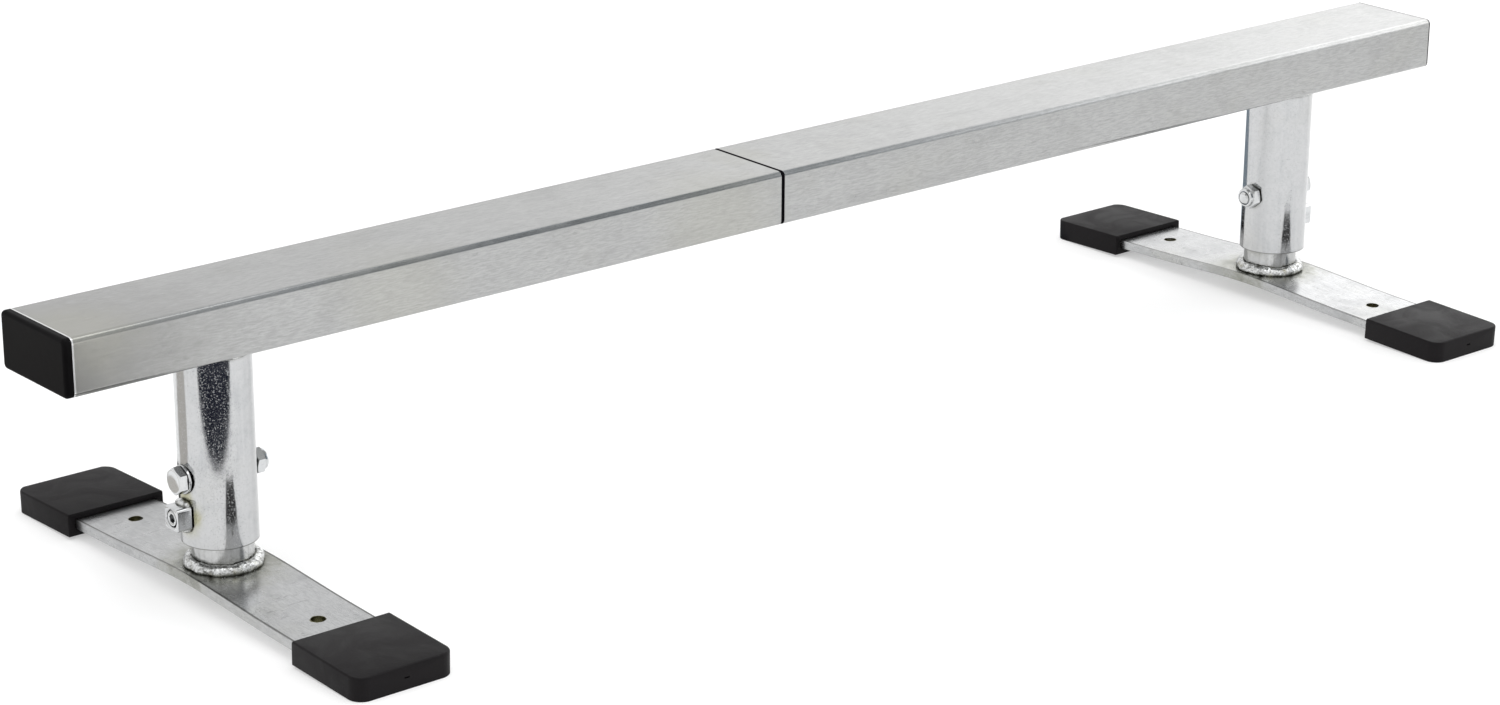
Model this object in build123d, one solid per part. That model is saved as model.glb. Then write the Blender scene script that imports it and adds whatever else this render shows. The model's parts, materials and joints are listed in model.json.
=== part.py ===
"""Low balance rail: two joined rectangular tubes on two telescopic legs with arched flat feet.

Millimetres. X runs along the rail, Y across it and Z up. The origin lies on the floor under
the middle of the rail. The near section is at -X and the far section at +X.
"""

from build123d import *
from math import cos, radians, sin, tan
import os

# Rail
RAIL_LENGTH = 1280.0
RAIL_WIDTH = 80.0
RAIL_HEIGHT = 40.0
RAIL_WALL = 2.0
RAIL_CORNER = 4.0
RAIL_TOP = 215.0
SEAM_X = -57.3
SEAM_GAP = 2.4

# Connector tube inside both sections
CONNECTOR_REACH = 150.0
CONNECTOR_WALL = 2.0
CONNECTOR_CORNER = 3.0
CONNECTOR_CLEARANCE = 0.3
GASKET_RECESS = 0.5

# Screws and nuts under the seam
SEAM_SCREW_D = 8.0
SEAM_SCREW_INSET = 40.0
SEAM_SCREW_PITCH = 70.0
SEAM_SCREW_HOLE_CLEARANCE = 0.25
SEAM_NUT_FLATS = 13.0
SEAM_NUT_HEIGHT = 6.5
SEAM_NUT_BEAD = 2.5
SEAM_SET_SCREW_SOCKET = 4.0
BUTTON_HEAD_D = 14.0
BUTTON_HEAD_HEIGHT = 4.4
BUTTON_HEAD_SOCKET = 5.0

# End caps
NEAR_CAP_FLANGE = 6.0
FAR_CAP_FLANGE = 1.6
CAP_ROUNDING = 2.8
CAP_PLUG_DEPTH = 22.0
CAP_PLUG_WALL = 2.5
CAP_RIB_HEIGHT = 1.0
CAP_RIB_WIDTH = 1.6
CAP_RIB_COUNT = 3

# Legs
NEAR_LEG_INSET = 126.0
FAR_LEG_INSET = 132.0
SLEEVE_D = 52.5
SLEEVE_WALL = 3.0
SLEEVE_BOTTOM = 38.0
SLEEVE_WELD = 4.5
STUB_D = 42.4
STUB_WALL = 3.0
STUB_TOP_GAP = 2.0
STUB_WELD = 6.0
LEG_TRAVEL = 70.0
BODY_GAP = 0.3

# Cross bolt, washer and lock nut
BOLT_D = 10.0
BOLT_HEIGHT = 85.0
BOLT_HEAD_FLATS = 17.0
BOLT_HEAD_HEIGHT = 6.4
BOLT_HOLE_CLEARANCE = 0.25
BOLT_SLOT_CLEARANCE = 0.5
BOLT_END_BEYOND_NUT = 1.6
BOLT_END_CHAMFER = 1.0
WASHER_D = 20.0
WASHER_THICKNESS = 1.6
NUT_HEX_HEIGHT = 7.0
NUT_COLLAR_HEIGHT = 3.0
NUT_COLLAR_D = 14.6
NUT_LIP_D = 11.4
NUT_INSERT_D = 12.6
NUT_INSERT_HEIGHT = 2.4

# Clamp screw in the nut welded to the sleeve
SET_SCREW_D = 12.0
SET_SCREW_SOCKET = 6.0
SET_SCREW_HEIGHT = 59.5
SCREW_RECESS = 0.5
SCREW_RUNNING_GAP = 0.05
SCREW_END_CHAMFER = 0.8
WELD_NUT_SIDE = 16.0
WELD_NUT_DEPTH = 11.0
WELD_NUT_CORNER = 1.5
WELD_NUT_BEAD = 3.0

# Feet
FOOT_LENGTH = 425.0
BAR_WIDTH = 65.0
BAR_THICKNESS = 7.0
BAR_BEND_Y = 92.0
BAR_SHOULDER_TILT = 2.9
BAR_CREST_RADIUS = 600.0
BAR_BEND_RADIUS = 1200.0
BAR_EDGE = 0.8
BAR_CORNER = 3.0
BAR_HOLE_D = 10.0
BAR_HOLE_SPACING = 226.0
BOOT_TILT = 1.7
BOOT_LENGTH = 73.6
BOOT_SIDE_WALL = 5.7
BOOT_END_WALL = 6.0
BOOT_FLOOR = 5.0
BOOT_ROOF = 4.5
BOOT_CORNER = 10.0
BOOT_EDGE = 1.2
BOOT_VENT_D = 4.0

# Places that follow from the sizes above
RAIL_END = RAIL_LENGTH / 2
RAIL_UNDERSIDE = RAIL_TOP - RAIL_HEIGHT
RAIL_MID_Z = RAIL_TOP - RAIL_HEIGHT / 2
BORE_WIDTH = RAIL_WIDTH - 2 * RAIL_WALL
BORE_HEIGHT = RAIL_HEIGHT - 2 * RAIL_WALL
BORE_CORNER = RAIL_CORNER - RAIL_WALL
CONNECTOR_WIDTH = BORE_WIDTH - 2 * CONNECTOR_CLEARANCE
CONNECTOR_HEIGHT = BORE_HEIGHT - 2 * CONNECTOR_CLEARANCE
CONNECTOR_UNDERSIDE = RAIL_MID_Z - CONNECTOR_HEIGHT / 2
SEAM_START = SEAM_X - SEAM_GAP / 2
SEAM_END = SEAM_X + SEAM_GAP / 2
SEAM_SCREW_HOLE_D = SEAM_SCREW_D + 2 * SEAM_SCREW_HOLE_CLEARANCE
CONNECTOR_SCREWS = (SEAM_X - SEAM_SCREW_INSET, SEAM_X - SEAM_SCREW_INSET - SEAM_SCREW_PITCH)
CLAMP_X = SEAM_X + SEAM_SCREW_INSET
SLEEVE_R = SLEEVE_D / 2
STUB_R = STUB_D / 2
STUB_SHIFT = SLEEVE_R - SLEEVE_WALL - STUB_R - BODY_GAP
STUB_TOP = RAIL_UNDERSIDE - STUB_TOP_GAP
BAR_LOWER = BOOT_FLOOR
BAR_UPPER = BOOT_FLOOR + BAR_THICKNESS
BOOT_WIDTH = BAR_WIDTH + 2 * BOOT_SIDE_WALL
BOOT_HEIGHT = BAR_UPPER + BOOT_ROOF
BAR_SHOULDER_RISE = BAR_BEND_Y * tan(radians(BAR_SHOULDER_TILT))
BAR_CREST_DROP = BAR_CREST_RADIUS * (1 / cos(radians(BAR_SHOULDER_TILT)) - 1)
OVERCUT = 5.0


def rounded_prism(x_start, x_end, width, height, corner):
    """Solid along X with a rounded rectangular section centred on the rail's axis."""
    plane = Plane(origin=(x_start, 0, RAIL_MID_Z), x_dir=(0, 1, 0), z_dir=(1, 0, 0))
    return extrude(plane * RectangleRounded(width, height, corner), x_end - x_start)


def rod(start, direction, length, diameter):
    """Cylinder from a start point along a direction."""
    return extrude(Plane(origin=start, z_dir=direction) * Circle(diameter / 2), length)


def hex_rod(start, direction, length, flats, corner_direction):
    """Hexagonal prism from a start point, with one corner along corner_direction."""
    plane = Plane(origin=start, x_dir=corner_direction, z_dir=direction)
    return extrude(plane * RegularPolygon(flats / 2, 6, major_radius=False), length)


def along_x(leg_x, outward, distance, z):
    """Point level with z, at a distance outwards from a leg's axis."""
    return (leg_x + outward * distance, 0, z)


def rail_tube(x_start, x_end, screw_places):
    """One rectangular rail section, open at both ends, with screw holes underneath."""
    tube = rounded_prism(x_start, x_end, RAIL_WIDTH, RAIL_HEIGHT, RAIL_CORNER)
    tube -= rounded_prism(
        x_start - OVERCUT, x_end + OVERCUT, BORE_WIDTH, BORE_HEIGHT, BORE_CORNER
    )
    for x in screw_places:
        start = (x, 0, RAIL_UNDERSIDE - OVERCUT)
        tube -= rod(start, (0, 0, 1), 2 * OVERCUT + RAIL_WALL, SEAM_SCREW_HOLE_D)
    return tube


def connector_tube():
    """Inner tube that both rail sections slide over."""
    start = SEAM_X - CONNECTOR_REACH
    end = SEAM_X + CONNECTOR_REACH
    tube = rounded_prism(start, end, CONNECTOR_WIDTH, CONNECTOR_HEIGHT, CONNECTOR_CORNER)
    tube -= rounded_prism(
        start - OVERCUT,
        end + OVERCUT,
        CONNECTOR_WIDTH - 2 * CONNECTOR_WALL,
        CONNECTOR_HEIGHT - 2 * CONNECTOR_WALL,
        CONNECTOR_CORNER - CONNECTOR_WALL,
    )
    for x in CONNECTOR_SCREWS:
        start_point = (x, 0, CONNECTOR_UNDERSIDE - OVERCUT)
        tube -= rod(start_point, (0, 0, 1), 2 * OVERCUT + CONNECTOR_WALL, SEAM_SCREW_HOLE_D)
    return tube


def seam_gasket():
    """Thin ring that fills the gap between the two rail sections."""
    ring = rounded_prism(
        SEAM_START,
        SEAM_END,
        RAIL_WIDTH - 2 * GASKET_RECESS,
        RAIL_HEIGHT - 2 * GASKET_RECESS,
        RAIL_CORNER - GASKET_RECESS,
    )
    return ring - rounded_prism(
        SEAM_START - OVERCUT,
        SEAM_END + OVERCUT,
        CONNECTOR_WIDTH,
        CONNECTOR_HEIGHT,
        CONNECTOR_CORNER,
    )


def connector_nut(x):
    """Hex nut welded on the connector's floor, above a connector screw."""
    floor = CONNECTOR_UNDERSIDE + CONNECTOR_WALL
    nut = hex_rod((x, 0, floor), (0, 0, 1), SEAM_NUT_HEIGHT, SEAM_NUT_FLATS, (1, 0, 0))
    return nut - rod((x, 0, floor), (0, 0, 1), SEAM_NUT_HEIGHT, SEAM_SCREW_D)


def connector_screw(x):
    """Button head screw from under the rail into a connector nut."""
    head = rod((x, 0, RAIL_UNDERSIDE), (0, 0, -1), BUTTON_HEAD_HEIGHT, BUTTON_HEAD_D)
    head = fillet(head.edges().sort_by(Axis.Z)[0], 0.7 * BUTTON_HEAD_HEIGHT)
    shank_length = CONNECTOR_UNDERSIDE + CONNECTOR_WALL + SEAM_NUT_HEIGHT - RAIL_UNDERSIDE
    shank = rod((x, 0, RAIL_UNDERSIDE), (0, 0, 1), shank_length, SEAM_SCREW_D)
    head_face = (x, 0, RAIL_UNDERSIDE - BUTTON_HEAD_HEIGHT)
    socket_depth = 0.6 * BUTTON_HEAD_HEIGHT
    socket = hex_rod(head_face, (0, 0, 1), socket_depth, BUTTON_HEAD_SOCKET, (1, 0, 0))
    return head + shank - socket


def seam_clamp_nut():
    """Square nut under the far section that carries the seam's set screw."""
    plane = Plane(origin=(CLAMP_X, 0, RAIL_UNDERSIDE), z_dir=(0, 0, -1))
    nut = extrude(plane * Rectangle(SEAM_NUT_FLATS, SEAM_NUT_FLATS), SEAM_NUT_HEIGHT)
    bore_d = SEAM_SCREW_D + 2 * SCREW_RUNNING_GAP
    return nut - rod((CLAMP_X, 0, RAIL_UNDERSIDE), (0, 0, -1), SEAM_NUT_HEIGHT, bore_d)


def seam_clamp_weld(side):
    """Weld bead along one side of the seam's clamp nut."""
    edge_x = CLAMP_X + side * SEAM_NUT_FLATS / 2
    start = (edge_x, -SEAM_NUT_FLATS / 2, RAIL_UNDERSIDE)
    bead = rod(start, (0, 1, 0), SEAM_NUT_FLATS, 2 * SEAM_NUT_BEAD)
    below = Box(4 * SEAM_NUT_BEAD, 2 * SEAM_NUT_FLATS, 4 * SEAM_NUT_BEAD)
    bead -= Pos(edge_x, 0, RAIL_UNDERSIDE + 2 * SEAM_NUT_BEAD) * below
    return bead - Pos(edge_x - side * 2 * SEAM_NUT_BEAD, 0, RAIL_UNDERSIDE) * below


def set_screw(outer_end, direction, length, diameter, socket_flats):
    """Headless screw from its outer end along a direction, with a hex socket."""
    screw = rod(outer_end, direction, length, diameter)
    rims = screw.edges().filter_by(GeomType.CIRCLE)
    screw = chamfer(rims, SCREW_END_CHAMFER)
    corner = (0, 0, 1) if direction[2] == 0 else (1, 0, 0)
    return screw - hex_rod(outer_end, direction, socket_flats, socket_flats, corner)


def end_cap(end_x, outward, flange_depth):
    """Moulded plug with a rounded flange, and ribs that grip the rail's bore."""
    low, high = sorted((end_x, end_x + outward * flange_depth))
    flange = rounded_prism(low, high, RAIL_WIDTH, RAIL_HEIGHT, RAIL_CORNER)
    outer_face = flange.faces().sort_by(Axis.X)[-1 if outward > 0 else 0]
    cap = fillet(outer_face.edges(), min(CAP_ROUNDING, flange_depth / 2))
    low, high = sorted((end_x, end_x - outward * CAP_PLUG_DEPTH))
    plug_width = BORE_WIDTH - 2 * CAP_RIB_HEIGHT
    plug_height = BORE_HEIGHT - 2 * CAP_RIB_HEIGHT
    plug = rounded_prism(low, high, plug_width, plug_height, BORE_CORNER)
    pitch = CAP_PLUG_DEPTH / (CAP_RIB_COUNT + 1)
    for index in range(CAP_RIB_COUNT):
        rib_x = end_x - outward * pitch * (index + 1)
        rib_start = rib_x - CAP_RIB_WIDTH / 2
        rib_end = rib_x + CAP_RIB_WIDTH / 2
        plug += rounded_prism(rib_start, rib_end, BORE_WIDTH, BORE_HEIGHT, BORE_CORNER)
    plug -= rounded_prism(
        low - (OVERCUT if outward > 0 else 0),
        high + (OVERCUT if outward < 0 else 0),
        plug_width - 2 * CAP_PLUG_WALL,
        plug_height - 2 * CAP_PLUG_WALL,
        BORE_CORNER,
    )
    return cap + plug


def leg_sleeve(leg_x, outward):
    """Round sleeve under the rail, drilled for the cross bolt and the set screw."""
    length = RAIL_UNDERSIDE - SLEEVE_BOTTOM
    sleeve = rod((leg_x, 0, SLEEVE_BOTTOM), (0, 0, 1), length, SLEEVE_D)
    sleeve -= rod((leg_x, 0, SLEEVE_BOTTOM), (0, 0, 1), length, SLEEVE_D - 2 * SLEEVE_WALL)
    bolt_start = along_x(leg_x, outward, SLEEVE_D, BOLT_HEIGHT)
    bolt_hole_d = BOLT_D + 2 * BOLT_HOLE_CLEARANCE
    sleeve -= rod(bolt_start, (-outward, 0, 0), 2 * SLEEVE_D, bolt_hole_d)
    screw_start = along_x(leg_x, outward, 0, SET_SCREW_HEIGHT)
    sleeve -= rod(screw_start, (outward, 0, 0), SLEEVE_D, SET_SCREW_D + 2 * BODY_GAP)
    return sleeve


def ring_weld(centre_x, tube_d, face_z, leg, up):
    """Convex weld bead round a tube against a face, growing up (1) or down (-1) from it."""
    inner = tube_d / 2
    crown = 0.62 * leg
    section = make_face(
        [
            Line((inner, face_z), (inner + leg, face_z)),
            ThreePointArc(
                (inner + leg, face_z),
                (inner + crown, face_z + up * crown),
                (inner, face_z + up * leg),
            ),
            Line((inner, face_z + up * leg), (inner, face_z)),
        ]
    )
    return Pos(centre_x, 0, 0) * revolve(Plane.XZ * section, Axis.Z)


def sloped_height(y, above_sole):
    """Height, at y across the foot, of a line parallel to the boots' tilted soles."""
    tilt = radians(BOOT_TILT)
    return (FOOT_LENGTH / 2 - abs(y)) * tan(tilt) + above_sole / cos(tilt)


def bar_side(above_sole):
    """Points of the bar's upper or lower side from its crest to its end, as (y, z)."""
    tilt = radians(BOOT_TILT)
    bend_z = sloped_height(BAR_BEND_Y, above_sole)
    end_y = FOOT_LENGTH / 2 - BOOT_END_WALL * cos(tilt) + above_sole * sin(tilt)
    return [
        (0, bend_z + BAR_SHOULDER_RISE),
        (BAR_BEND_Y, bend_z),
        (end_y, sloped_height(end_y, above_sole)),
    ]


def foot_bar(foot_x):
    """Flat bar across the rail, bent down towards its boots, with two anchor holes."""
    half = bar_side(BAR_UPPER) + bar_side(BAR_LOWER)[::-1]
    mirrored = [(-y, z) for y, z in half[4::-1]]
    profile = make_face(Polyline(*half, *mirrored[:-1], close=True))
    crest = [vertex for vertex in profile.vertices() if abs(vertex.X) < 1.0]
    profile = fillet(crest, BAR_CREST_RADIUS)
    bends = [vertex for vertex in profile.vertices() if abs(abs(vertex.X) - BAR_BEND_Y) < 1.0]
    profile = fillet(bends, BAR_BEND_RADIUS)
    plane = Plane(origin=(foot_x - BAR_WIDTH / 2, 0, 0), x_dir=(0, 1, 0), z_dir=(1, 0, 0))
    bar = extrude(plane * profile, BAR_WIDTH)
    bar = fillet([edge for edge in bar.edges() if edge.length < 1.1 * BAR_THICKNESS], BAR_CORNER)
    bar = fillet([edge for edge in bar.edges() if is_crest_rim(edge, foot_x)], BAR_EDGE)
    for side in (-1, 1):
        start = (foot_x, side * BAR_HOLE_SPACING / 2, 0)
        bar -= rod(start, (0, 0, 1), 2 * bar_mid_top(), BAR_HOLE_D)
    return bar


def bar_mid_top():
    """Height of the bar's upper side in its middle."""
    return bar_side(BAR_UPPER)[0][1] - BAR_CREST_DROP


def is_crest_rim(edge, foot_x):
    """Whether an edge is one of the bar's four long edges at its crest."""
    middle = edge.center()
    return abs(middle.Y) < 1.0 and abs(middle.X - foot_x) > BAR_WIDTH / 4


def leg_stub(foot_x, bar):
    """Round stub on the foot bar, slotted for the cross bolt over the leg's travel."""
    start_z = bar_mid_top() - BAR_THICKNESS / 2
    stub = rod((foot_x, 0, start_z), (0, 0, 1), STUB_TOP - start_z, STUB_D)
    stub -= rod((foot_x, 0, start_z), (0, 0, 1), STUB_TOP - start_z, STUB_D - 2 * STUB_WALL)
    slot_width = BOLT_D + 2 * BOLT_SLOT_CLEARANCE
    slot_mid_z = BOLT_HEIGHT + LEG_TRAVEL / 2
    plane = Plane(origin=(foot_x - STUB_D, 0, slot_mid_z), x_dir=(0, 0, 1), z_dir=(1, 0, 0))
    stub -= extrude(plane * SlotCenterToCenter(LEG_TRAVEL, slot_width), 2 * STUB_D)
    return stub - bar


def stub_weld(foot_x, bar):
    """Bead between the stub and the bent top of the foot bar."""
    face_z = bar_mid_top()
    skirt_depth = BAR_THICKNESS / 2
    ring = ring_weld(foot_x, STUB_D, face_z, STUB_WELD, 1)
    skirt = rod((foot_x, 0, face_z), (0, 0, -1), skirt_depth, STUB_D + 2 * STUB_WELD)
    skirt -= rod((foot_x, 0, face_z), (0, 0, -1), skirt_depth, STUB_D)
    return ring + skirt - bar


def boot(foot_x, side):
    """Rubber boot over one end of the foot bar, tilted with it about its outer bottom edge."""
    middle = Pos(0, -side * BOOT_LENGTH / 2, BOOT_HEIGHT / 2)
    body = middle * Box(BOOT_WIDTH, BOOT_LENGTH, BOOT_HEIGHT)
    outer_corners = body.edges().filter_by(Axis.Z).sort_by(Axis.Y)
    outer_corners = outer_corners[2:] if side > 0 else outer_corners[:2]
    body = fillet(outer_corners, BOOT_CORNER)
    top_rim = [edge for edge in body.faces().sort_by(Axis.Z)[-1].edges()
               if abs(edge.center().Y) < BOOT_LENGTH - 1.0]
    body = fillet(top_rim, BOOT_EDGE)
    pocket_length = BOOT_LENGTH - BOOT_END_WALL
    pocket_mid_y = -side * (BOOT_END_WALL + pocket_length / 2)
    bar_mid_height = (BAR_LOWER + BAR_UPPER) / 2
    body -= Pos(0, pocket_mid_y, bar_mid_height) * Box(BAR_WIDTH, pocket_length, BAR_THICKNESS)
    vent_start = (0, -side * 2 * BOOT_END_WALL, bar_mid_height)
    body -= rod(vent_start, (0, side, 0), 3 * BOOT_END_WALL, BOOT_VENT_D)
    return Pos(foot_x, side * FOOT_LENGTH / 2, 0) * Rot(-side * BOOT_TILT, 0, 0) * body


def cross_bolt(leg_x, outward):
    """Hex bolt through the sleeve and the stub's slot, with its head on the outer side."""
    head_start = along_x(leg_x, outward, SLEEVE_R + WASHER_THICKNESS, BOLT_HEIGHT)
    head = hex_rod(head_start, (outward, 0, 0), BOLT_HEAD_HEIGHT, BOLT_HEAD_FLATS, (0, 0, 1))
    head_limit = rod(head_start, (outward, 0, 0), BOLT_HEAD_HEIGHT, 1.16 * BOLT_HEAD_FLATS)
    outer_rim = head_limit.edges().filter_by(GeomType.CIRCLE).sort_by(Axis.X)
    outer_rim = outer_rim[-1 if outward > 0 else 0]
    head &= chamfer(outer_rim, 0.1 * BOLT_HEAD_FLATS)
    length = 2 * SLEEVE_R + WASHER_THICKNESS + NUT_HEX_HEIGHT + NUT_COLLAR_HEIGHT
    shank = rod(head_start, (-outward, 0, 0), length + BOLT_END_BEYOND_NUT, BOLT_D)
    ends = shank.edges().filter_by(GeomType.CIRCLE).sort_by(Axis.X)
    shank = chamfer(ends[0 if outward > 0 else -1], BOLT_END_CHAMFER)
    return head + shank


def washer(leg_x, outward):
    """Flat washer between the bolt's head and the sleeve."""
    start = along_x(leg_x, outward, SLEEVE_R, BOLT_HEIGHT)
    disc = rod(start, (outward, 0, 0), WASHER_THICKNESS, WASHER_D)
    return disc - rod(start, (outward, 0, 0), WASHER_THICKNESS, BOLT_D)


def lock_nut(leg_x, outward):
    """Steel body of the lock nut: a hexagon with a round collar."""
    start = along_x(leg_x, -outward, SLEEVE_R, BOLT_HEIGHT)
    collar_start = along_x(leg_x, -outward, SLEEVE_R + NUT_HEX_HEIGHT, BOLT_HEIGHT)
    inward = (-outward, 0, 0)
    body = hex_rod(start, inward, NUT_HEX_HEIGHT, BOLT_HEAD_FLATS, (0, 0, 1))
    body += rod(collar_start, inward, NUT_COLLAR_HEIGHT, NUT_COLLAR_D)
    body -= rod(start, inward, NUT_HEX_HEIGHT, BOLT_D)
    body -= rod(collar_start, inward, NUT_INSERT_HEIGHT, NUT_INSERT_D)
    return body - rod(collar_start, inward, NUT_COLLAR_HEIGHT, NUT_LIP_D)


def lock_nut_insert(leg_x, outward):
    """Nylon ring inside the lock nut's collar."""
    start = along_x(leg_x, -outward, SLEEVE_R + NUT_HEX_HEIGHT, BOLT_HEIGHT)
    ring = rod(start, (-outward, 0, 0), NUT_INSERT_HEIGHT, NUT_INSERT_D)
    return ring - rod(start, (-outward, 0, 0), NUT_INSERT_HEIGHT, BOLT_D)


def weld_nut_blank(leg_x, outward):
    """Square block of the weld nut, before its thread is bored."""
    start = along_x(leg_x, outward, SLEEVE_R, SET_SCREW_HEIGHT)
    plane = Plane(origin=start, x_dir=(0, 0, 1), z_dir=(outward, 0, 0))
    outline = RectangleRounded(WELD_NUT_SIDE, WELD_NUT_SIDE, WELD_NUT_CORNER)
    return extrude(plane * outline, WELD_NUT_DEPTH)


def weld_nut(leg_x, outward):
    """Square nut welded to the outer side of the sleeve."""
    start = along_x(leg_x, outward, SLEEVE_R, SET_SCREW_HEIGHT)
    bore_d = SET_SCREW_D + 2 * SCREW_RUNNING_GAP
    return weld_nut_blank(leg_x, outward) - rod(start, (outward, 0, 0), WELD_NUT_DEPTH, bore_d)


def weld_nut_bead(leg_x, outward, side):
    """Weld bead above (1) or below (-1) the weld nut."""
    length = 0.8 * WELD_NUT_SIDE
    mid_z = SET_SCREW_HEIGHT + side * WELD_NUT_SIDE / 2
    mid_x = leg_x + outward * (SLEEVE_R + 0.6 * WELD_NUT_BEAD)
    bead = rod((mid_x, -length / 2, mid_z), (0, 1, 0), length, 2 * WELD_NUT_BEAD)
    bead -= weld_nut_blank(leg_x, outward)
    gap_fill_depth = 2 * WELD_NUT_BEAD
    inner = Box(gap_fill_depth, 2 * length, gap_fill_depth)
    bead -= Pos(mid_x, 0, mid_z - side * gap_fill_depth / 2) * inner
    return bead - rod((leg_x, 0, SLEEVE_BOTTOM), (0, 0, 1), RAIL_UNDERSIDE, SLEEVE_D)


def leg_set_screw(leg_x, outward):
    """Socket screw in the weld nut that presses on the stub."""
    tip = STUB_R - STUB_SHIFT + BODY_GAP
    outer = SLEEVE_R + WELD_NUT_DEPTH - SCREW_RECESS
    outer_end = along_x(leg_x, outward, outer, SET_SCREW_HEIGHT)
    return set_screw(outer_end, (-outward, 0, 0), outer - tip, SET_SCREW_D, SET_SCREW_SOCKET)


def seam_set_screw():
    """Socket screw in the seam's clamp nut that presses on the connector."""
    outer_z = RAIL_UNDERSIDE - SEAM_NUT_HEIGHT + SCREW_RECESS
    length = CONNECTOR_UNDERSIDE - BODY_GAP - outer_z
    outer_end = (CLAMP_X, 0, outer_z)
    return set_screw(outer_end, (0, 0, 1), length, SEAM_SCREW_D, SEAM_SET_SCREW_SOCKET)


def leg_parts(name, leg_x, outward):
    """Every piece of one leg and its foot, by node name."""
    foot_x = leg_x - outward * STUB_SHIFT
    bar = foot_bar(foot_x)
    return {
        f"{name}_leg_sleeve": leg_sleeve(leg_x, outward),
        f"{name}_sleeve_weld": ring_weld(leg_x, SLEEVE_D, RAIL_UNDERSIDE, SLEEVE_WELD, -1),
        f"{name}_cross_bolt": cross_bolt(leg_x, outward),
        f"{name}_bolt_washer": washer(leg_x, outward),
        f"{name}_lock_nut": lock_nut(leg_x, outward),
        f"{name}_lock_nut_insert": lock_nut_insert(leg_x, outward),
        f"{name}_weld_nut": weld_nut(leg_x, outward),
        f"{name}_weld_nut_beads": [weld_nut_bead(leg_x, outward, side) for side in (1, -1)],
        f"{name}_set_screw": leg_set_screw(leg_x, outward),
        f"{name}_leg_stub": leg_stub(foot_x, bar),
        f"{name}_stub_weld": stub_weld(foot_x, bar),
        f"{name}_foot_bar": bar,
        f"{name}_front_boot": boot(foot_x, -1),
        f"{name}_back_boot": boot(foot_x, 1),
    }


def rail_parts():
    """Every piece of the two rail sections and their joint, by node name."""
    return {
        "near_rail_tube": rail_tube(-RAIL_END, SEAM_START, CONNECTOR_SCREWS),
        "far_rail_tube": rail_tube(SEAM_END, RAIL_END, (CLAMP_X,)),
        "near_end_cap": end_cap(-RAIL_END, -1, NEAR_CAP_FLANGE),
        "far_end_cap": end_cap(RAIL_END, 1, FAR_CAP_FLANGE),
        "seam_gasket": seam_gasket(),
        "connector_tube": connector_tube(),
        "connector_screws": [connector_screw(x) for x in CONNECTOR_SCREWS],
        "connector_nuts": [connector_nut(x) for x in CONNECTOR_SCREWS],
        "seam_clamp_nut": seam_clamp_nut(),
        "seam_clamp_welds": [seam_clamp_weld(side) for side in (-1, 1)],
        "seam_set_screw": seam_set_screw(),
    }


def write_parts(parts):
    """Write one STEP file per node; a list becomes a group of separate solids."""
    os.makedirs("parts", exist_ok=True)
    for name, shape in parts.items():
        if isinstance(shape, list):
            shape = Compound(children=shape)
        export_step(shape, f"parts/{name}.step")


def main():
    """Build every piece and write it."""
    parts = rail_parts()
    parts.update(leg_parts("near", -RAIL_END + NEAR_LEG_INSET, -1))
    parts.update(leg_parts("far", RAIL_END - FAR_LEG_INSET, 1))
    write_parts(parts)


if __name__ == "__main__":
    main()
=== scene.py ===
"""Looks of a low balance rail: plated tubes, telescopic legs, bent feet and rubber boots.

Everything is in metres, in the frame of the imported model: X along the rail, Y across it,
Z up, and the origin on the floor under the middle of the rail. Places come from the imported
model's nodes, and the sizes that only the looks need are fields of the classes below.
"""

import json
import logging
import math
import random
from dataclasses import dataclass, field
from enum import Enum
from typing import Callable, Optional, Sequence

import bmesh
import bpy
from mathutils import Matrix, Vector, noise


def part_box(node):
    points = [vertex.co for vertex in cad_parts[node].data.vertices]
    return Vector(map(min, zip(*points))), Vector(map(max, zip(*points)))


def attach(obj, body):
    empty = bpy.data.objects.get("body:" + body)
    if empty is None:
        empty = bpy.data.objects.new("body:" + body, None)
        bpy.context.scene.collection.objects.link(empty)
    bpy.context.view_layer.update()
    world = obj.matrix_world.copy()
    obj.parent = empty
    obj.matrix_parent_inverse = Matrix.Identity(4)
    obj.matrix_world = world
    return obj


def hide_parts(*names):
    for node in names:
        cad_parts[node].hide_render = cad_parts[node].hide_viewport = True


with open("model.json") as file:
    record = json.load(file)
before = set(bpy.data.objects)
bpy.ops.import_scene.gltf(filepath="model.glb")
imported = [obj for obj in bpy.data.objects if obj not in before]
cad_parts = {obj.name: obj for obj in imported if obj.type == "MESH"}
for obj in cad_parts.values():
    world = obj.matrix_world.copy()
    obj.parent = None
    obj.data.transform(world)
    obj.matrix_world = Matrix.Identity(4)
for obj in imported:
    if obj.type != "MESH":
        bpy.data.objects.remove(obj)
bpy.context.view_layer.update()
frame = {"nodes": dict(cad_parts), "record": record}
LOG = logging.getLogger("balance_rail")
MM = 0.001

Colour = tuple[float, float, float]
Triple = tuple[float, float, float]
Ring = Callable[[float], tuple[float, float]]


class End(Enum):
    """Which leg of the rail a sub-assembly belongs to."""

    NEAR = "near"
    FAR = "far"

    @property
    def outward(self) -> float:
        """Sign of the X direction from the rail's middle to this end."""
        return -1.0 if self is End.NEAR else 1.0


class Along(Enum):
    """Direction in which a surface was drawn or rolled, as noise scales per metre."""

    RAIL = (2.2, 240.0, 240.0)
    LEG = (260.0, 260.0, 6.0)
    FOOT = (150.0, 5.0, 150.0)
    NONE = (90.0, 90.0, 90.0)


# ---------------------------------------------------------------------------- shader nodes


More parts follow.
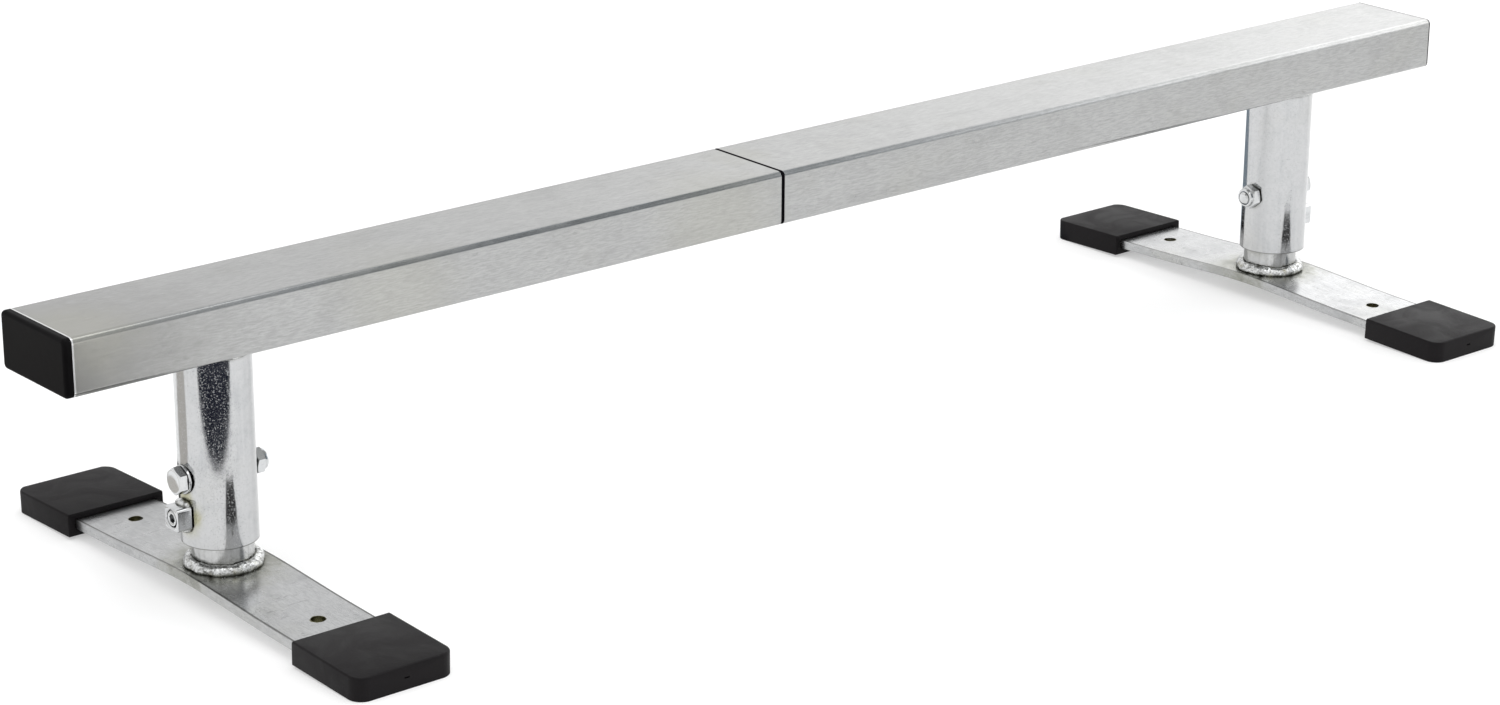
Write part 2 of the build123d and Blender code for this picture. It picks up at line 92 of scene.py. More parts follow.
class Shader:
    """One material's node tree, with short calls for the nodes that the finishes share."""

    def __init__(self, name: str) -> None:
        """Start an empty material with one Principled shader.

        Args:
            name: name of the material.
        """
        self.material = bpy.data.materials.new(name)
        self.material.use_nodes = True
        self.tree = self.material.node_tree
        self.tree.nodes.clear()
        self.body = self.tree.nodes.new("ShaderNodeBsdfPrincipled")
        out = self.tree.nodes.new("ShaderNodeOutputMaterial")
        self.tree.links.new(self.body.outputs["BSDF"], out.inputs["Surface"])
        self.place = self.node("ShaderNodeTexCoord").outputs["Object"]

    def node(self, kind: str, **settings: object) -> bpy.types.Node:
        """Add a node and set its plain properties.

        Args:
            kind: Blender's name of the node's type.
            settings: properties to set on it.

        Returns:
            The new node.
        """
        made = self.tree.nodes.new(kind)
        for key, value in settings.items():
            setattr(made, key, value)
        return made

    def feed(self, socket: bpy.types.NodeSocket, value: object) -> None:
        """Link a socket to another, or set its own number.

        Args:
            socket: input socket.
            value: an output socket, a number or a tuple.
        """
        if isinstance(value, bpy.types.NodeSocket):
            self.tree.links.new(value, socket)
        else:
            socket.default_value = value

    def stretched(self, scales: Triple, offset: Triple = (0.0, 0.0, 0.0)) -> bpy.types.NodeSocket:
        """Place on the object, scaled on each axis.

        Args:
            scales: scale per metre on X, Y and Z.
            offset: shift after scaling, which separates patterns.

        Returns:
            The scaled vector.
        """
        mapping = self.node("ShaderNodeMapping")
        self.feed(mapping.inputs["Vector"], self.place)
        mapping.inputs["Scale"].default_value = scales
        mapping.inputs["Location"].default_value = offset
        return mapping.outputs["Vector"]

    def clouds(
        self,
        vector: bpy.types.NodeSocket,
        scale: float = 1.0,
        detail: float = 4.0,
        roughness: float = 0.55,
        distortion: float = 0.0,
    ) -> bpy.types.NodeSocket:
        """Fractal noise between 0 and 1.

        Args:
            vector: place to read the noise at.
            scale: further scale on every axis.
            detail: number of octaves.
            roughness: strength of the finer octaves.
            distortion: swirl of the pattern.

        Returns:
            The noise value.
        """
        made = self.node("ShaderNodeTexNoise")
        self.feed(made.inputs["Vector"], vector)
        made.inputs["Scale"].default_value = scale
        made.inputs["Detail"].default_value = detail
        made.inputs["Roughness"].default_value = roughness
        made.inputs["Distortion"].default_value = distortion
        return made.outputs["Fac"]

    def band(
        self,
        value: object,
        low: float,
        high: float,
        to_low: float = 0.0,
        to_high: float = 1.0,
    ) -> bpy.types.NodeSocket:
        """Smooth step from one number to another.

        Args:
            value: what decides the step.
            low: value at which the step starts.
            high: value at which it ends.
            to_low: result at and below the start.
            to_high: result at and above the end.

        Returns:
            The stepped value.
        """
        made = self.node("ShaderNodeMapRange", interpolation_type="SMOOTHSTEP")
        self.feed(made.inputs["Value"], value)
        made.inputs["From Min"].default_value = low
        made.inputs["From Max"].default_value = high
        made.inputs["To Min"].default_value = to_low
        made.inputs["To Max"].default_value = to_high
        return made.outputs["Result"]

    def sum(self, operation: str, first: object, second: object = 0.0) -> bpy.types.NodeSocket:
        """One arithmetic step.

        Args:
            operation: Blender's name of the operation.
            first: first number.
            second: second number.

        Returns:
            The result.
        """
        made = self.node("ShaderNodeMath", operation=operation)
        self.feed(made.inputs[0], first)
        self.feed(made.inputs[1], second)
        return made.outputs["Value"]

    def blend(self, share: object, first: object, second: object) -> bpy.types.NodeSocket:
        """Mix of two colours.

        Args:
            share: share of the second colour, from 0 to 1.
            first: first colour.
            second: second colour.

        Returns:
            The mixed colour.
        """
        made = self.node("ShaderNodeMix", data_type="RGBA")
        self.feed(made.inputs["Factor"], share)
        for socket, value in ((made.inputs["A"], first), (made.inputs["B"], second)):
            self.feed(made.inputs[6 if socket.name == "A" else 7], as_colour(value))
        return made.outputs[2]

    def distance(self, centre: Triple, squash: Triple = (1.0, 1.0, 1.0)) -> bpy.types.NodeSocket:
        """Distance in metres from a point of the object.

        Args:
            centre: the point.
            squash: weight of each axis; 0 makes it a distance from a line.

        Returns:
            The distance.
        """
        offset = tuple(-c * s for c, s in zip(centre, squash))
        length = self.node("ShaderNodeVectorMath", operation="LENGTH")
        self.feed(length.inputs[0], self.stretched(squash, offset))
        return length.outputs["Value"]

    def crevice(self, reach: float) -> bpy.types.NodeSocket:
        """How enclosed a place is, from 0 in the open to 1 deep in a corner.

        Args:
            reach: distance in metres at which other faces start to count.

        Returns:
            The enclosure.
        """
        made = self.node("ShaderNodeAmbientOcclusion", samples=6)
        made.inputs["Distance"].default_value = reach
        return self.band(made.outputs["AO"], 0.35, 0.95, 1.0, 0.0)

    def relief(self, height: object, depth: float, normal: object = None) -> bpy.types.NodeSocket:
        """Bump from a height.

        Args:
            height: height between 0 and 1.
            depth: depth in metres that 1 stands for.
            normal: normal of a coarser bump underneath, if any.

        Returns:
            The bumped normal.
        """
        made = self.node("ShaderNodeBump")
        made.inputs["Strength"].default_value = 1.0
        made.inputs["Distance"].default_value = depth
        self.feed(made.inputs["Height"], height)
        if normal is not None:
            self.feed(made.inputs["Normal"], normal)
        return made.outputs["Normal"]


def as_colour(value: object) -> object:
    """Add full opacity to a plain colour, and pass a socket on unchanged."""
    return (*value, 1.0) if isinstance(value, tuple) else value


# -------------------------------------------------------------------------------- finishes


@dataclass(frozen=True)
class Stain:
    """A soft patch of another colour around a point or a line of the object."""

    centre: Triple
    radius: float
    colour: Colour
    strength: float
    softness: float = 0.35
    squash: Triple = (1.0, 1.0, 1.0)
    hollow: float = 0.0


@dataclass(frozen=True)
class PlatedSteel:
    """Zinc plated steel with drawn streaks, cloudy patches, crystals, scratches and stains, and painted shade that
    darkens its crevices.
    """

    name: str
    bright: Colour
    dark: Colour
    drawn: Along
    rough_low: float
    rough_high: float
    streak_share: float = 0.45
    cloud_scale: float = 38.0
    spangle: float = 0.0
    spangle_scale: float = 420.0
    speckle: float = 0.0
    tarnish: Colour = (0.50, 0.49, 0.40)
    tarnish_share: float = 0.25
    scratch_share: float = 0.3
    grain_share: float = 0.0
    # colour, strength and reach of the painted crevice shade
    crevice_shade: Colour = (0.10, 0.10, 0.08)
    crevice_shade_share: float = 0.0
    crevice_shade_reach: float = 3.0 * MM
    relief_depth: float = 0.00002
    stains: tuple[Stain, ...] = ()

    def material(self) -> bpy.types.Material:
        """Build the node material.

        Returns:
            The finished material.
        """
        s = Shader(self.name)
        streaks = s.clouds(s.stretched(self.drawn.value), detail=6.0, roughness=0.62)
        clouds = s.clouds(s.stretched((1, 1, 1), (3, 1, 2)), self.cloud_scale, 6.0, 0.6, 0.4)
        broad = s.clouds(s.stretched((1, 1, 1), (7, 5, 1)), 7.0, 3.0)
        tone = s.sum("MULTIPLY", streaks, self.streak_share)
        tone = s.sum("ADD", tone, s.sum("MULTIPLY", clouds, 0.75 - 0.5 * self.streak_share))
        tone = s.sum("ADD", tone, s.sum("MULTIPLY", broad, 0.25 - 0.5 * self.streak_share + 0.25))
        colour = s.blend(s.band(tone, 0.28, 0.72), self.dark, self.bright)
        rough = s.band(tone, 0.25, 0.75, self.rough_high, self.rough_low)
        if self.spangle:
            cells = s.node("ShaderNodeTexVoronoi", feature="F1")
            s.feed(cells.inputs["Vector"], s.place)
            cells.inputs["Scale"].default_value = self.spangle_scale
            grey = s.node("ShaderNodeRGBToBW")
            s.feed(grey.inputs[0], cells.outputs["Color"])
            share = s.band(grey.outputs[0], 0.2, 0.9, 0.0, self.spangle)
            colour = s.blend(share, colour, self.dark)
            rough = s.sum("ADD", rough, s.sum("MULTIPLY", share, 0.25))
        film = s.band(s.clouds(s.stretched((1, 1, 1), (11, 2, 5)), 14.0, 5.0), 0.50, 0.74)
        colour = s.blend(s.sum("MULTIPLY", film, self.tarnish_share), colour, self.tarnish)
        lines = s.clouds(s.stretched((90.0, 800.0, 260.0), (2, 9, 4)), 1.0, 2.0, 0.4, 1.5)
        fine = s.band(lines, 0.66, 0.70, 0.0, self.scratch_share)
        colour = s.blend(fine, colour, tuple(0.55 * c for c in self.dark))
        if self.grain_share:
            brushed = s.stretched(tuple(4.0 * scale + 120.0 for scale in self.drawn.value), (5, 5, 2))
            grain = s.band(s.clouds(brushed, 1.0, 3.0, 0.7), 0.36, 0.64, self.grain_share, 0.0)
            colour = s.blend(grain, colour, tuple(0.6 * c for c in self.dark))
        for stain in self.stains:
            colour = self.stained(s, colour, stain)
        # painted shade: the colour darkens where other faces are near, in crevices and at contacts
        if self.crevice_shade_share:
            crevice_shade_mask = s.sum("MULTIPLY", s.crevice(self.crevice_shade_reach), self.crevice_shade_share)
            colour = s.blend(crevice_shade_mask, colour, self.crevice_shade)
        s.feed(s.body.inputs["Base Color"], colour)
        s.feed(s.body.inputs["Roughness"], s.sum("ADD", rough, s.sum("MULTIPLY", fine, 0.2)))
        s.body.inputs["Metallic"].default_value = 1.0
        normal = s.relief(clouds, 2.5 * self.relief_depth)
        if self.speckle:
            grit = s.clouds(s.stretched((1, 1, 1), (9, 3, 6)), 1100.0, 2.0, 0.5)
            normal = s.relief(s.band(grit, 0.62, 0.70), self.speckle, normal)
        s.feed(s.body.inputs["Normal"], s.relief(streaks, self.relief_depth, normal))
        return s.material

    def stained(
        self, s: Shader, colour: bpy.types.NodeSocket, stain: Stain
    ) -> bpy.types.NodeSocket:
        """Lay one stain over the colour so far.

        Args:
            s: shader being built.
            colour: colour so far.
            stain: the stain.

        Returns:
            The new colour.
        """
        ragged = s.clouds(s.stretched((1, 1, 1), (5, 8, 3)), 95.0, 5.0, 0.6, 0.6)
        reach = s.distance(stain.centre, stain.squash)
        spread = s.sum("ADD", s.sum("DIVIDE", reach, stain.radius), s.band(ragged, 0, 1, -0.3, 0.3))
        share = s.band(spread, 1.0 - stain.softness, 1.0 + stain.softness, stain.strength, 0.0)
        if stain.hollow:
            inner = s.band(spread, stain.hollow - 0.1, stain.hollow + 0.1)
            share = s.sum("MULTIPLY", share, inner)
        return s.blend(share, colour, stain.colour)


@dataclass(frozen=True)
class WeldMetal:
    """Plated weld bead: bright crests, soot and painted shade in its hollows, and flux tint."""

    name: str
    bright: Colour = (0.70, 0.71, 0.71)
    dark: Colour = (0.22, 0.22, 0.21)
    flux: Colour = (0.34, 0.32, 0.20)
    flux_share: float = 0.4
    # colour of the soot and painted shade in the bead's hollows
    soot_and_shade: Colour = (0.045, 0.045, 0.035)
    rough: float = 0.2

    def material(self) -> bpy.types.Material:
        """Build the node material.

        Returns:
            The finished material.
        """
        s = Shader(self.name)
        lumps = s.clouds(s.stretched((1, 1, 1)), 330.0, 6.0, 0.65, 0.8)
        patches = s.clouds(s.stretched((1, 1, 1), (4, 4, 9)), 110.0, 5.0, 0.6)
        colour = s.blend(s.band(lumps, 0.36, 0.56), self.dark, self.bright)
        tint = s.band(patches, 0.52, 0.66, 0.0, self.flux_share)
        colour = s.blend(tint, colour, self.flux)
        # soot and painted shade: the bead turns near-black where other faces are near, in its hollows and at its
        # toes
        colour = s.blend(s.sum("MULTIPLY", s.crevice(2.5 * MM), 0.85), colour, self.soot_and_shade)
        s.feed(s.body.inputs["Base Color"], colour)
        s.feed(s.body.inputs["Roughness"], s.band(lumps, 0.3, 0.7, self.rough + 0.2, self.rough))
        s.body.inputs["Metallic"].default_value = 1.0
        s.feed(s.body.inputs["Normal"], s.relief(lumps, 0.0004))
        return s.material


@dataclass(frozen=True)
class Moulded:
    """Moulded rubber or plastic: fine grain, faint flow marks, dust and rubbed patches."""

    name: str
    base: Colour
    rubbed: Colour
    rough_low: float
    rough_high: float
    grain_scale: float = 1500.0
    grain_depth: float = 0.00003
    dust: Colour = (0.10, 0.10, 0.10)
    dust_share: float = 0.15
    gloss: float = 0.5

    def material(self) -> bpy.types.Material:
        """Build the node material.

        Returns:
            The finished material.
        """
        s = Shader(self.name)
        flow = s.clouds(s.stretched((1, 1, 1), (1, 2, 3)), 30.0, 5.0, 0.55, 1.0)
        grain = s.clouds(s.place, self.grain_scale, 3.0, 0.6)
        smears = s.clouds(s.stretched((40.0, 160.0, 160.0), (6, 1, 1)), 1.0, 4.0)
        colour = s.blend(s.band(flow, 0.35, 0.7), self.base, self.rubbed)
        specks = s.band(s.clouds(s.place, 700.0, 2.0), 0.66, 0.74, 0.0, self.dust_share)
        colour = s.blend(specks, colour, self.dust)
        colour = s.blend(s.band(smears, 0.55, 0.8, 0.0, 0.4), colour, self.rubbed)
        s.feed(s.body.inputs["Base Color"], colour)
        s.feed(s.body.inputs["Roughness"], s.band(flow, 0.3, 0.7, self.rough_low, self.rough_high))
        s.body.inputs["Specular IOR Level"].default_value = self.gloss
        coarse = s.relief(flow, 6 * self.grain_depth)
        s.feed(s.body.inputs["Normal"], s.relief(grain, self.grain_depth, coarse))
        return s.material


# ---------------------------------------------------------------------------- mesh builders


def piece_from(name: str, verts: Sequence[Vector], faces: Sequence[Sequence[int]]) -> bpy.types.Object:
    """Make a smooth shaded object whose sharp edges stay crisp.

    Args:
        name: name of the piece.
        verts: corners in metres, in the rail's frame.
        faces: corner numbers of each face.

    Returns:
        The linked object.
    """
    mesh = bpy.data.meshes.new(name)
    mesh.from_pydata([tuple(v) for v in verts], [], [tuple(f) for f in faces])
    work = bmesh.new()
    work.from_mesh(mesh)
    bmesh.ops.remove_doubles(work, verts=work.verts, dist=1e-7)
    bmesh.ops.recalc_face_normals(work, faces=work.faces)
    for face in work.faces:
        face.smooth = True
    for edge in work.edges:
        edge.smooth = len(edge.link_faces) == 2 and edge.calc_face_angle(0.0) < math.radians(32)
    work.to_mesh(mesh)
    work.free()
    made = bpy.data.objects.new(name, mesh)
    bpy.context.scene.collection.objects.link(made)
    return made


@dataclass
class Turned:
    """A piece made of rings about an axis; each ring's radius and height may vary round it."""

    name: str
    origin: Vector
    axis: Vector
    up: Vector
    segments: int = 96
    closed: bool = False
    rings: list[Ring] = field(default_factory=list)

    def ring(self, radius: float, height: float) -> "Turned":
        """Add a plain round ring.

        Args:
            radius: radius in metres.
            height: distance along the axis in metres.

        Returns:
            This builder.
        """
        self.rings.append(lambda angle, r=radius, h=height: (r, h))
        return self

    def shaped(self, ring: Ring) -> "Turned":
        """Add a ring that varies round the axis.

        Args:
            ring: gives radius and height for an angle.

        Returns:
            This builder.
        """
        self.rings.append(ring)
        return self

    def hexagon(self, flats: float, height: float) -> "Turned":
        """Add a hexagonal ring.

        Args:
            flats: distance across the flats.
            height: distance along the axis.

        Returns:
            This builder.
        """
        return self.shaped(lambda angle: (polygon_radius(angle, flats, 6), height))

    def chamfered_hexagon(self, flats: float, height: float, face: float, rise: float) -> "Turned":
        """Add the curved edge where a cone cuts a hexagon's corners.

        Args:
            flats: distance across the flats.
            height: height of the face that the cone starts from.
            face: radius at which the cone starts.
            rise: 1 where the hexagon lies below the face, -1 where it lies above.

        Returns:
            This builder.
        """
        slope = math.tan(math.radians(28))

        def edge(angle: float) -> tuple[float, float]:
            """Radius and height of the cut at an angle."""
            radius = polygon_radius(angle, flats, 6)
            return radius, height - rise * (radius - face) * slope

        return self.shaped(edge)

    def thread(self, diameter: float, start: float, end: float, pitch: float) -> "Turned":
        """Add the rings of a screw thread.

        Args:
            diameter: outer diameter.
            start: height at which it starts.
            end: height at which it ends, on either side of the start.
            pitch: distance between turns.

        Returns:
            This builder.
        """
        depth = 0.54 * pitch
        rows = max(2, round(abs(end - start) / pitch * 8))
        for row in range(rows + 1):
            height = start + (end - start) * row / rows

            def groove(angle: float, h: float = height) -> tuple[float, float]:
                """Radius and height of the thread at an angle."""
                turn = (h / pitch + angle / math.tau) % 1.0
                crest = abs(2 * turn - 1)
                return diameter / 2 - depth * min(1.0, max(0.0, 1.25 * crest - 0.12)), h

            self.shaped(groove)
        return self

    def build(self) -> bpy.types.Object:
        """Join the rings into one closed piece.

        Returns:
            The piece.
        """
        side = self.axis.cross(self.up)
        verts: list[Vector] = []
        for ring in self.rings:
            for step in range(self.segments):
                angle = math.tau * step / self.segments
                radius, height = ring(angle)
                spoke = self.up * math.cos(angle) + side * math.sin(angle)
                verts.append(self.origin + self.axis * height + spoke * radius)
        faces = []
        pairs = list(zip(range(len(self.rings) - 1), range(1, len(self.rings))))
        if self.closed:
            pairs.append((len(self.rings) - 1, 0))
        for lower, upper in pairs:
            for step in range(self.segments):
                after = (step + 1) % self.segments
                a, b = lower * self.segments, upper * self.segments
                faces.append((a + step, a + after, b + after, b + step))
        if not self.closed:
            last = (len(self.rings) - 1) * self.segments
            faces.append(tuple(range(self.segments))[::-1])
            faces.append(tuple(range(last, last + self.segments)))
        return piece_from(self.name, verts, faces)


def polygon_radius(angle: float, flats: float, sides: int) -> float:
    """Distance from a regular polygon's middle to its outline, with a corner at angle 0.

    Args:
        angle: direction.
        flats: distance across the flats.
        sides: number of sides.

    Returns:
        The distance.
    """
    part = math.tau / sides
    off_middle = (angle % part) - part / 2
    return flats / 2 / math.cos(off_middle)


@dataclass
class WeldBead:
    """A lumpy weld bead laid along a path, with the ripples of its puddle."""

    name: str
    path: list[Vector]
    out: list[Vector]
    radius: float
    closed: bool
    seed: int
    ripple: float = 2.4 * MM
    lump: float = 0.16
    ripple_share: float = 0.07
    lump_rate: float = 130.0
    sides: int = 14

    def build(self) -> bpy.types.Object:
        """Sweep the bead.

        Returns:
            The piece.
        """
        count = len(self.path)
        verts: list[Vector] = []
        run = 0.0
        for index, point in enumerate(self.path):
            before = self.path[index - 1] if index or self.closed else point
            after = self.path[(index + 1) % count] if index + 1 < count or self.closed else point
            along = (after - before).normalized()
            if index:
                run += (point - self.path[index - 1]).length
            out = self.out[index]
            across = along.cross(out).normalized()
            end_share = 1.0 if self.closed else self.end_taper(index, count)
            for side in range(self.sides):
                angle = math.tau * side / self.sides
                spoke = out * math.cos(angle) + across * math.sin(angle)
                sample = (point + spoke * self.radius) * self.lump_rate
                rough = noise.fractal(sample + Vector((self.seed, 0, 0)), 0.9, 2.1, 5)
                lag = 0.35 * math.cos(angle)
                wave = abs(math.sin(math.pi * (run / self.ripple + lag + 0.6 * rough)))
                reach = self.radius * end_share * (0.97 + self.lump * rough + self.ripple_share * wave)
                verts.append(point + spoke * reach)
        faces = []
        for index in range(count if self.closed else count - 1):
            a, b = index * self.sides, (index + 1) % count * self.sides
            for side in range(self.sides):
                after_side = (side + 1) % self.sides
                faces.append((a + side, a + after_side, b + after_side, b + side))
        if not self.closed:
            faces.append(tuple(range(self.sides))[::-1])
            faces.append(tuple(range((count - 1) * self.sides, count * self.sides)))
        made = piece_from(self.name, verts, faces)
        for poly in made.data.polygons:
            poly.use_smooth = True
        return made

    @staticmethod
    def end_taper(index: int, count: int) -> float:
        """Share of the full radius near an open bead's rounded ends."""
        nearest = min(index, count - 1 - index) / (0.16 * count)
        return math.sqrt(max(0.06, 1 - max(0.0, 1 - nearest) ** 2))


@dataclass
class BootShell:
    """Rubber boot swept from its vent, over its outside and lip, and back into its pocket."""

    name: str
    length: float
    width: float
    height: float
    floor: float
    bar_width: float
    bar_thickness: float
    end_wall: float
    corner: float = 10.0 * MM
    edge: float = 1.4 * MM
    sole_edge: float = 0.5 * MM
    lip: float = 0.6 * MM
    vent: float = 2.0 * MM
    arc_steps: int = 6

    def outline(
        self, half_width: float, low: float, high: float, edge: float, sole: float
    ) -> list[tuple[float, float]]:
        """Rounded rectangle across the boot, from its upper right corner round.

        Args:
            half_width: half of the width.
            low: height of the underside.
            high: height of the top.
            edge: radius of the upper corners.
            sole: radius of the lower corners.

        Returns:
            Points as distance across and height.
        """
        centres = (
            (half_width - edge, high - edge, edge, 0.0),
            (edge - half_width, high - edge, edge, 0.5),
            (sole - half_width, low + sole, sole, 1.0),
            (half_width - sole, low + sole, sole, 1.5),
        )
        points = []
        for across, up, radius, turn in centres:
            for step in range(self.arc_steps + 1):
                angle = math.pi * (turn + 0.5 * step / self.arc_steps)
                points.append((across + radius * math.cos(angle), up + radius * math.sin(angle)))
        return points

    def sections(self) -> list[tuple[float, list[tuple[float, float]]]]:
        """Every section of the sweep, with its distance from the boot's outer end.

        Returns:
            Distance and outline of each section.
        """
        made = []
        for step in range(10):
            inward = self.corner * (1 - math.cos(math.pi / 2 * step / 9))
            side = self.corner * (1 - math.sqrt(max(0.0, 1 - (1 - inward / self.corner) ** 2)))
            near = max(0.0, 1 - inward / self.edge)
            drop = self.edge * (1 - math.sqrt(max(0.0, 1 - near**2)))
            half = self.width / 2 - side
            made.append((inward, self.outline(half, 0.0, self.height - drop, self.edge, self.sole_edge)))
        mouth = self.length
        for setback, inset in ((self.lip, 0.0), (0.3 * self.lip, 0.3 * self.lip), (0.0, self.lip)):
            half = self.width / 2 - inset
            outline = self.outline(half, inset, self.height - inset, self.edge, self.sole_edge)
            made.append((mouth - setback, outline))
        slot_half = self.bar_width / 2
        low, high = self.floor, self.floor + self.bar_thickness
        for setback, grow in ((0.0, self.lip), (0.3 * self.lip, 0.3 * self.lip), (self.lip, 0.0)):
            outline = self.outline(slot_half + grow, low - grow, high + grow, 0.8 * MM, 0.8 * MM)
            made.append((mouth - setback, outline))
        made.append((self.end_wall, self.outline(slot_half, low, high, 0.8 * MM, 0.8 * MM)))
        middle = (low + high) / 2
        hole = [
            (self.vent * math.cos(a), middle + self.vent * math.sin(a))
            for a in (math.atan2(up - middle, across) for across, up in made[0][1])
        ]
        return [(0.0, hole)] + made + [(self.end_wall, hole)]

    def build(self, place: Matrix) -> bpy.types.Object:
        """Sweep the sections into one closed shell.

        Args:
            place: puts the boot in the rail's frame; its X is across, its -Y is inward.

        Returns:
            The piece.
        """
        sections = self.sections()
        count = len(sections[0][1])
        verts = [
            place @ Vector((across, -inward, up))
            for inward, outline in sections
            for across, up in outline
        ]
        faces = []
        for index in range(len(sections)):
            a, b = index * count, (index + 1) % len(sections) * count
            for step in range(count):
                after = (step + 1) % count
                faces.append((a + step, a + after, b + after, b + step))
        return piece_from(self.name, verts, faces)


# ---------------------------------------------------------------------------- sub-assemblies


def centre_of(node: str) -> Vector:
    """Middle of a node's box at rest."""
    low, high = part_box(node)
    return (low + high) / 2


def wear(obj: bpy.types.Object, material: bpy.types.Material) -> None:
    """Give an object one material over all its faces."""
    obj.data.materials.clear()
    obj.data.materials.append(material)


def settle(
    piece: bpy.types.Object,
    body: str,
    material: bpy.types.Material,
    replaces: Sequence[str] = (),
) -> None:
    """Attach a finished piece to its body and report it.

    Args:
        piece: the piece.
        body: CAD body that it rides on.
        material: what it wears.
        replaces: CAD nodes that it stands for.
    """
    wear(piece, material)
    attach(piece, body)
    if replaces:
        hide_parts(*replaces)
    LOG.info("%s rides on %s (%d faces)", piece.name, body, len(piece.data.polygons))


@dataclass(frozen=True)
class Palette:
    """The materials that all sub-assemblies share."""

    fastener: bpy.types.Material
    weld: bpy.types.Material
    cap: bpy.types.Material
    rubber: bpy.types.Material
    seam: bpy.types.Material
    nylon: bpy.types.Material

    @classmethod
    def mixed(cls) -> "Palette":
        """Make every shared material once.

        Returns:
            The palette.
        """
        fastener = PlatedSteel(
            "bright_zinc_fastener",
            bright=(0.66, 0.67, 0.68),
            dark=(0.42, 0.43, 0.44),
            drawn=Along.NONE,
            rough_low=0.12,
            rough_high=0.26,
            cloud_scale=160.0,
            tarnish_share=0.15,
            scratch_share=0.15,
            # painted shade: near-black crevice darkening that outlines the fasteners
            crevice_shade=(0.030, 0.030, 0.022),
            crevice_shade_share=0.95,
        )
        cap = Moulded(
            "moulded_cap",
            base=(0.0030, 0.0027, 0.0030),
            rubbed=(0.0050, 0.0046, 0.0050),
            rough_low=0.34,
            rough_high=0.46,
            dust=(0.02, 0.02, 0.02),
            gloss=0.03,
        )
        rubber = Moulded(
            "boot_rubber",
            base=(0.0048, 0.0039, 0.0045),
            rubbed=(0.0078, 0.0064, 0.0073),
            rough_low=0.46,
            rough_high=0.60,
            grain_depth=0.00005,
            dust=(0.04, 0.04, 0.04),
            dust_share=0.25,
            gloss=0.13,
        )
        seam = Moulded(
            "seam_ring",
            base=(0.002, 0.002, 0.003),
            rubbed=(0.003, 0.003, 0.004),
            rough_low=0.6,
            rough_high=0.75,
            dust=(0.006, 0.006, 0.006),
            gloss=0.02,
        )
        nylon = Moulded(
            "nylon_insert",
            base=(0.10, 0.14, 0.19),
            rubbed=(0.14, 0.19, 0.25),
            rough_low=0.35,
            rough_high=0.45,
        )
        return cls(
            fastener.material(),
            WeldMetal("plated_weld").material(),
            cap.material(),
            rubber.material(),
            seam.material(),
            nylon.material(),
        )


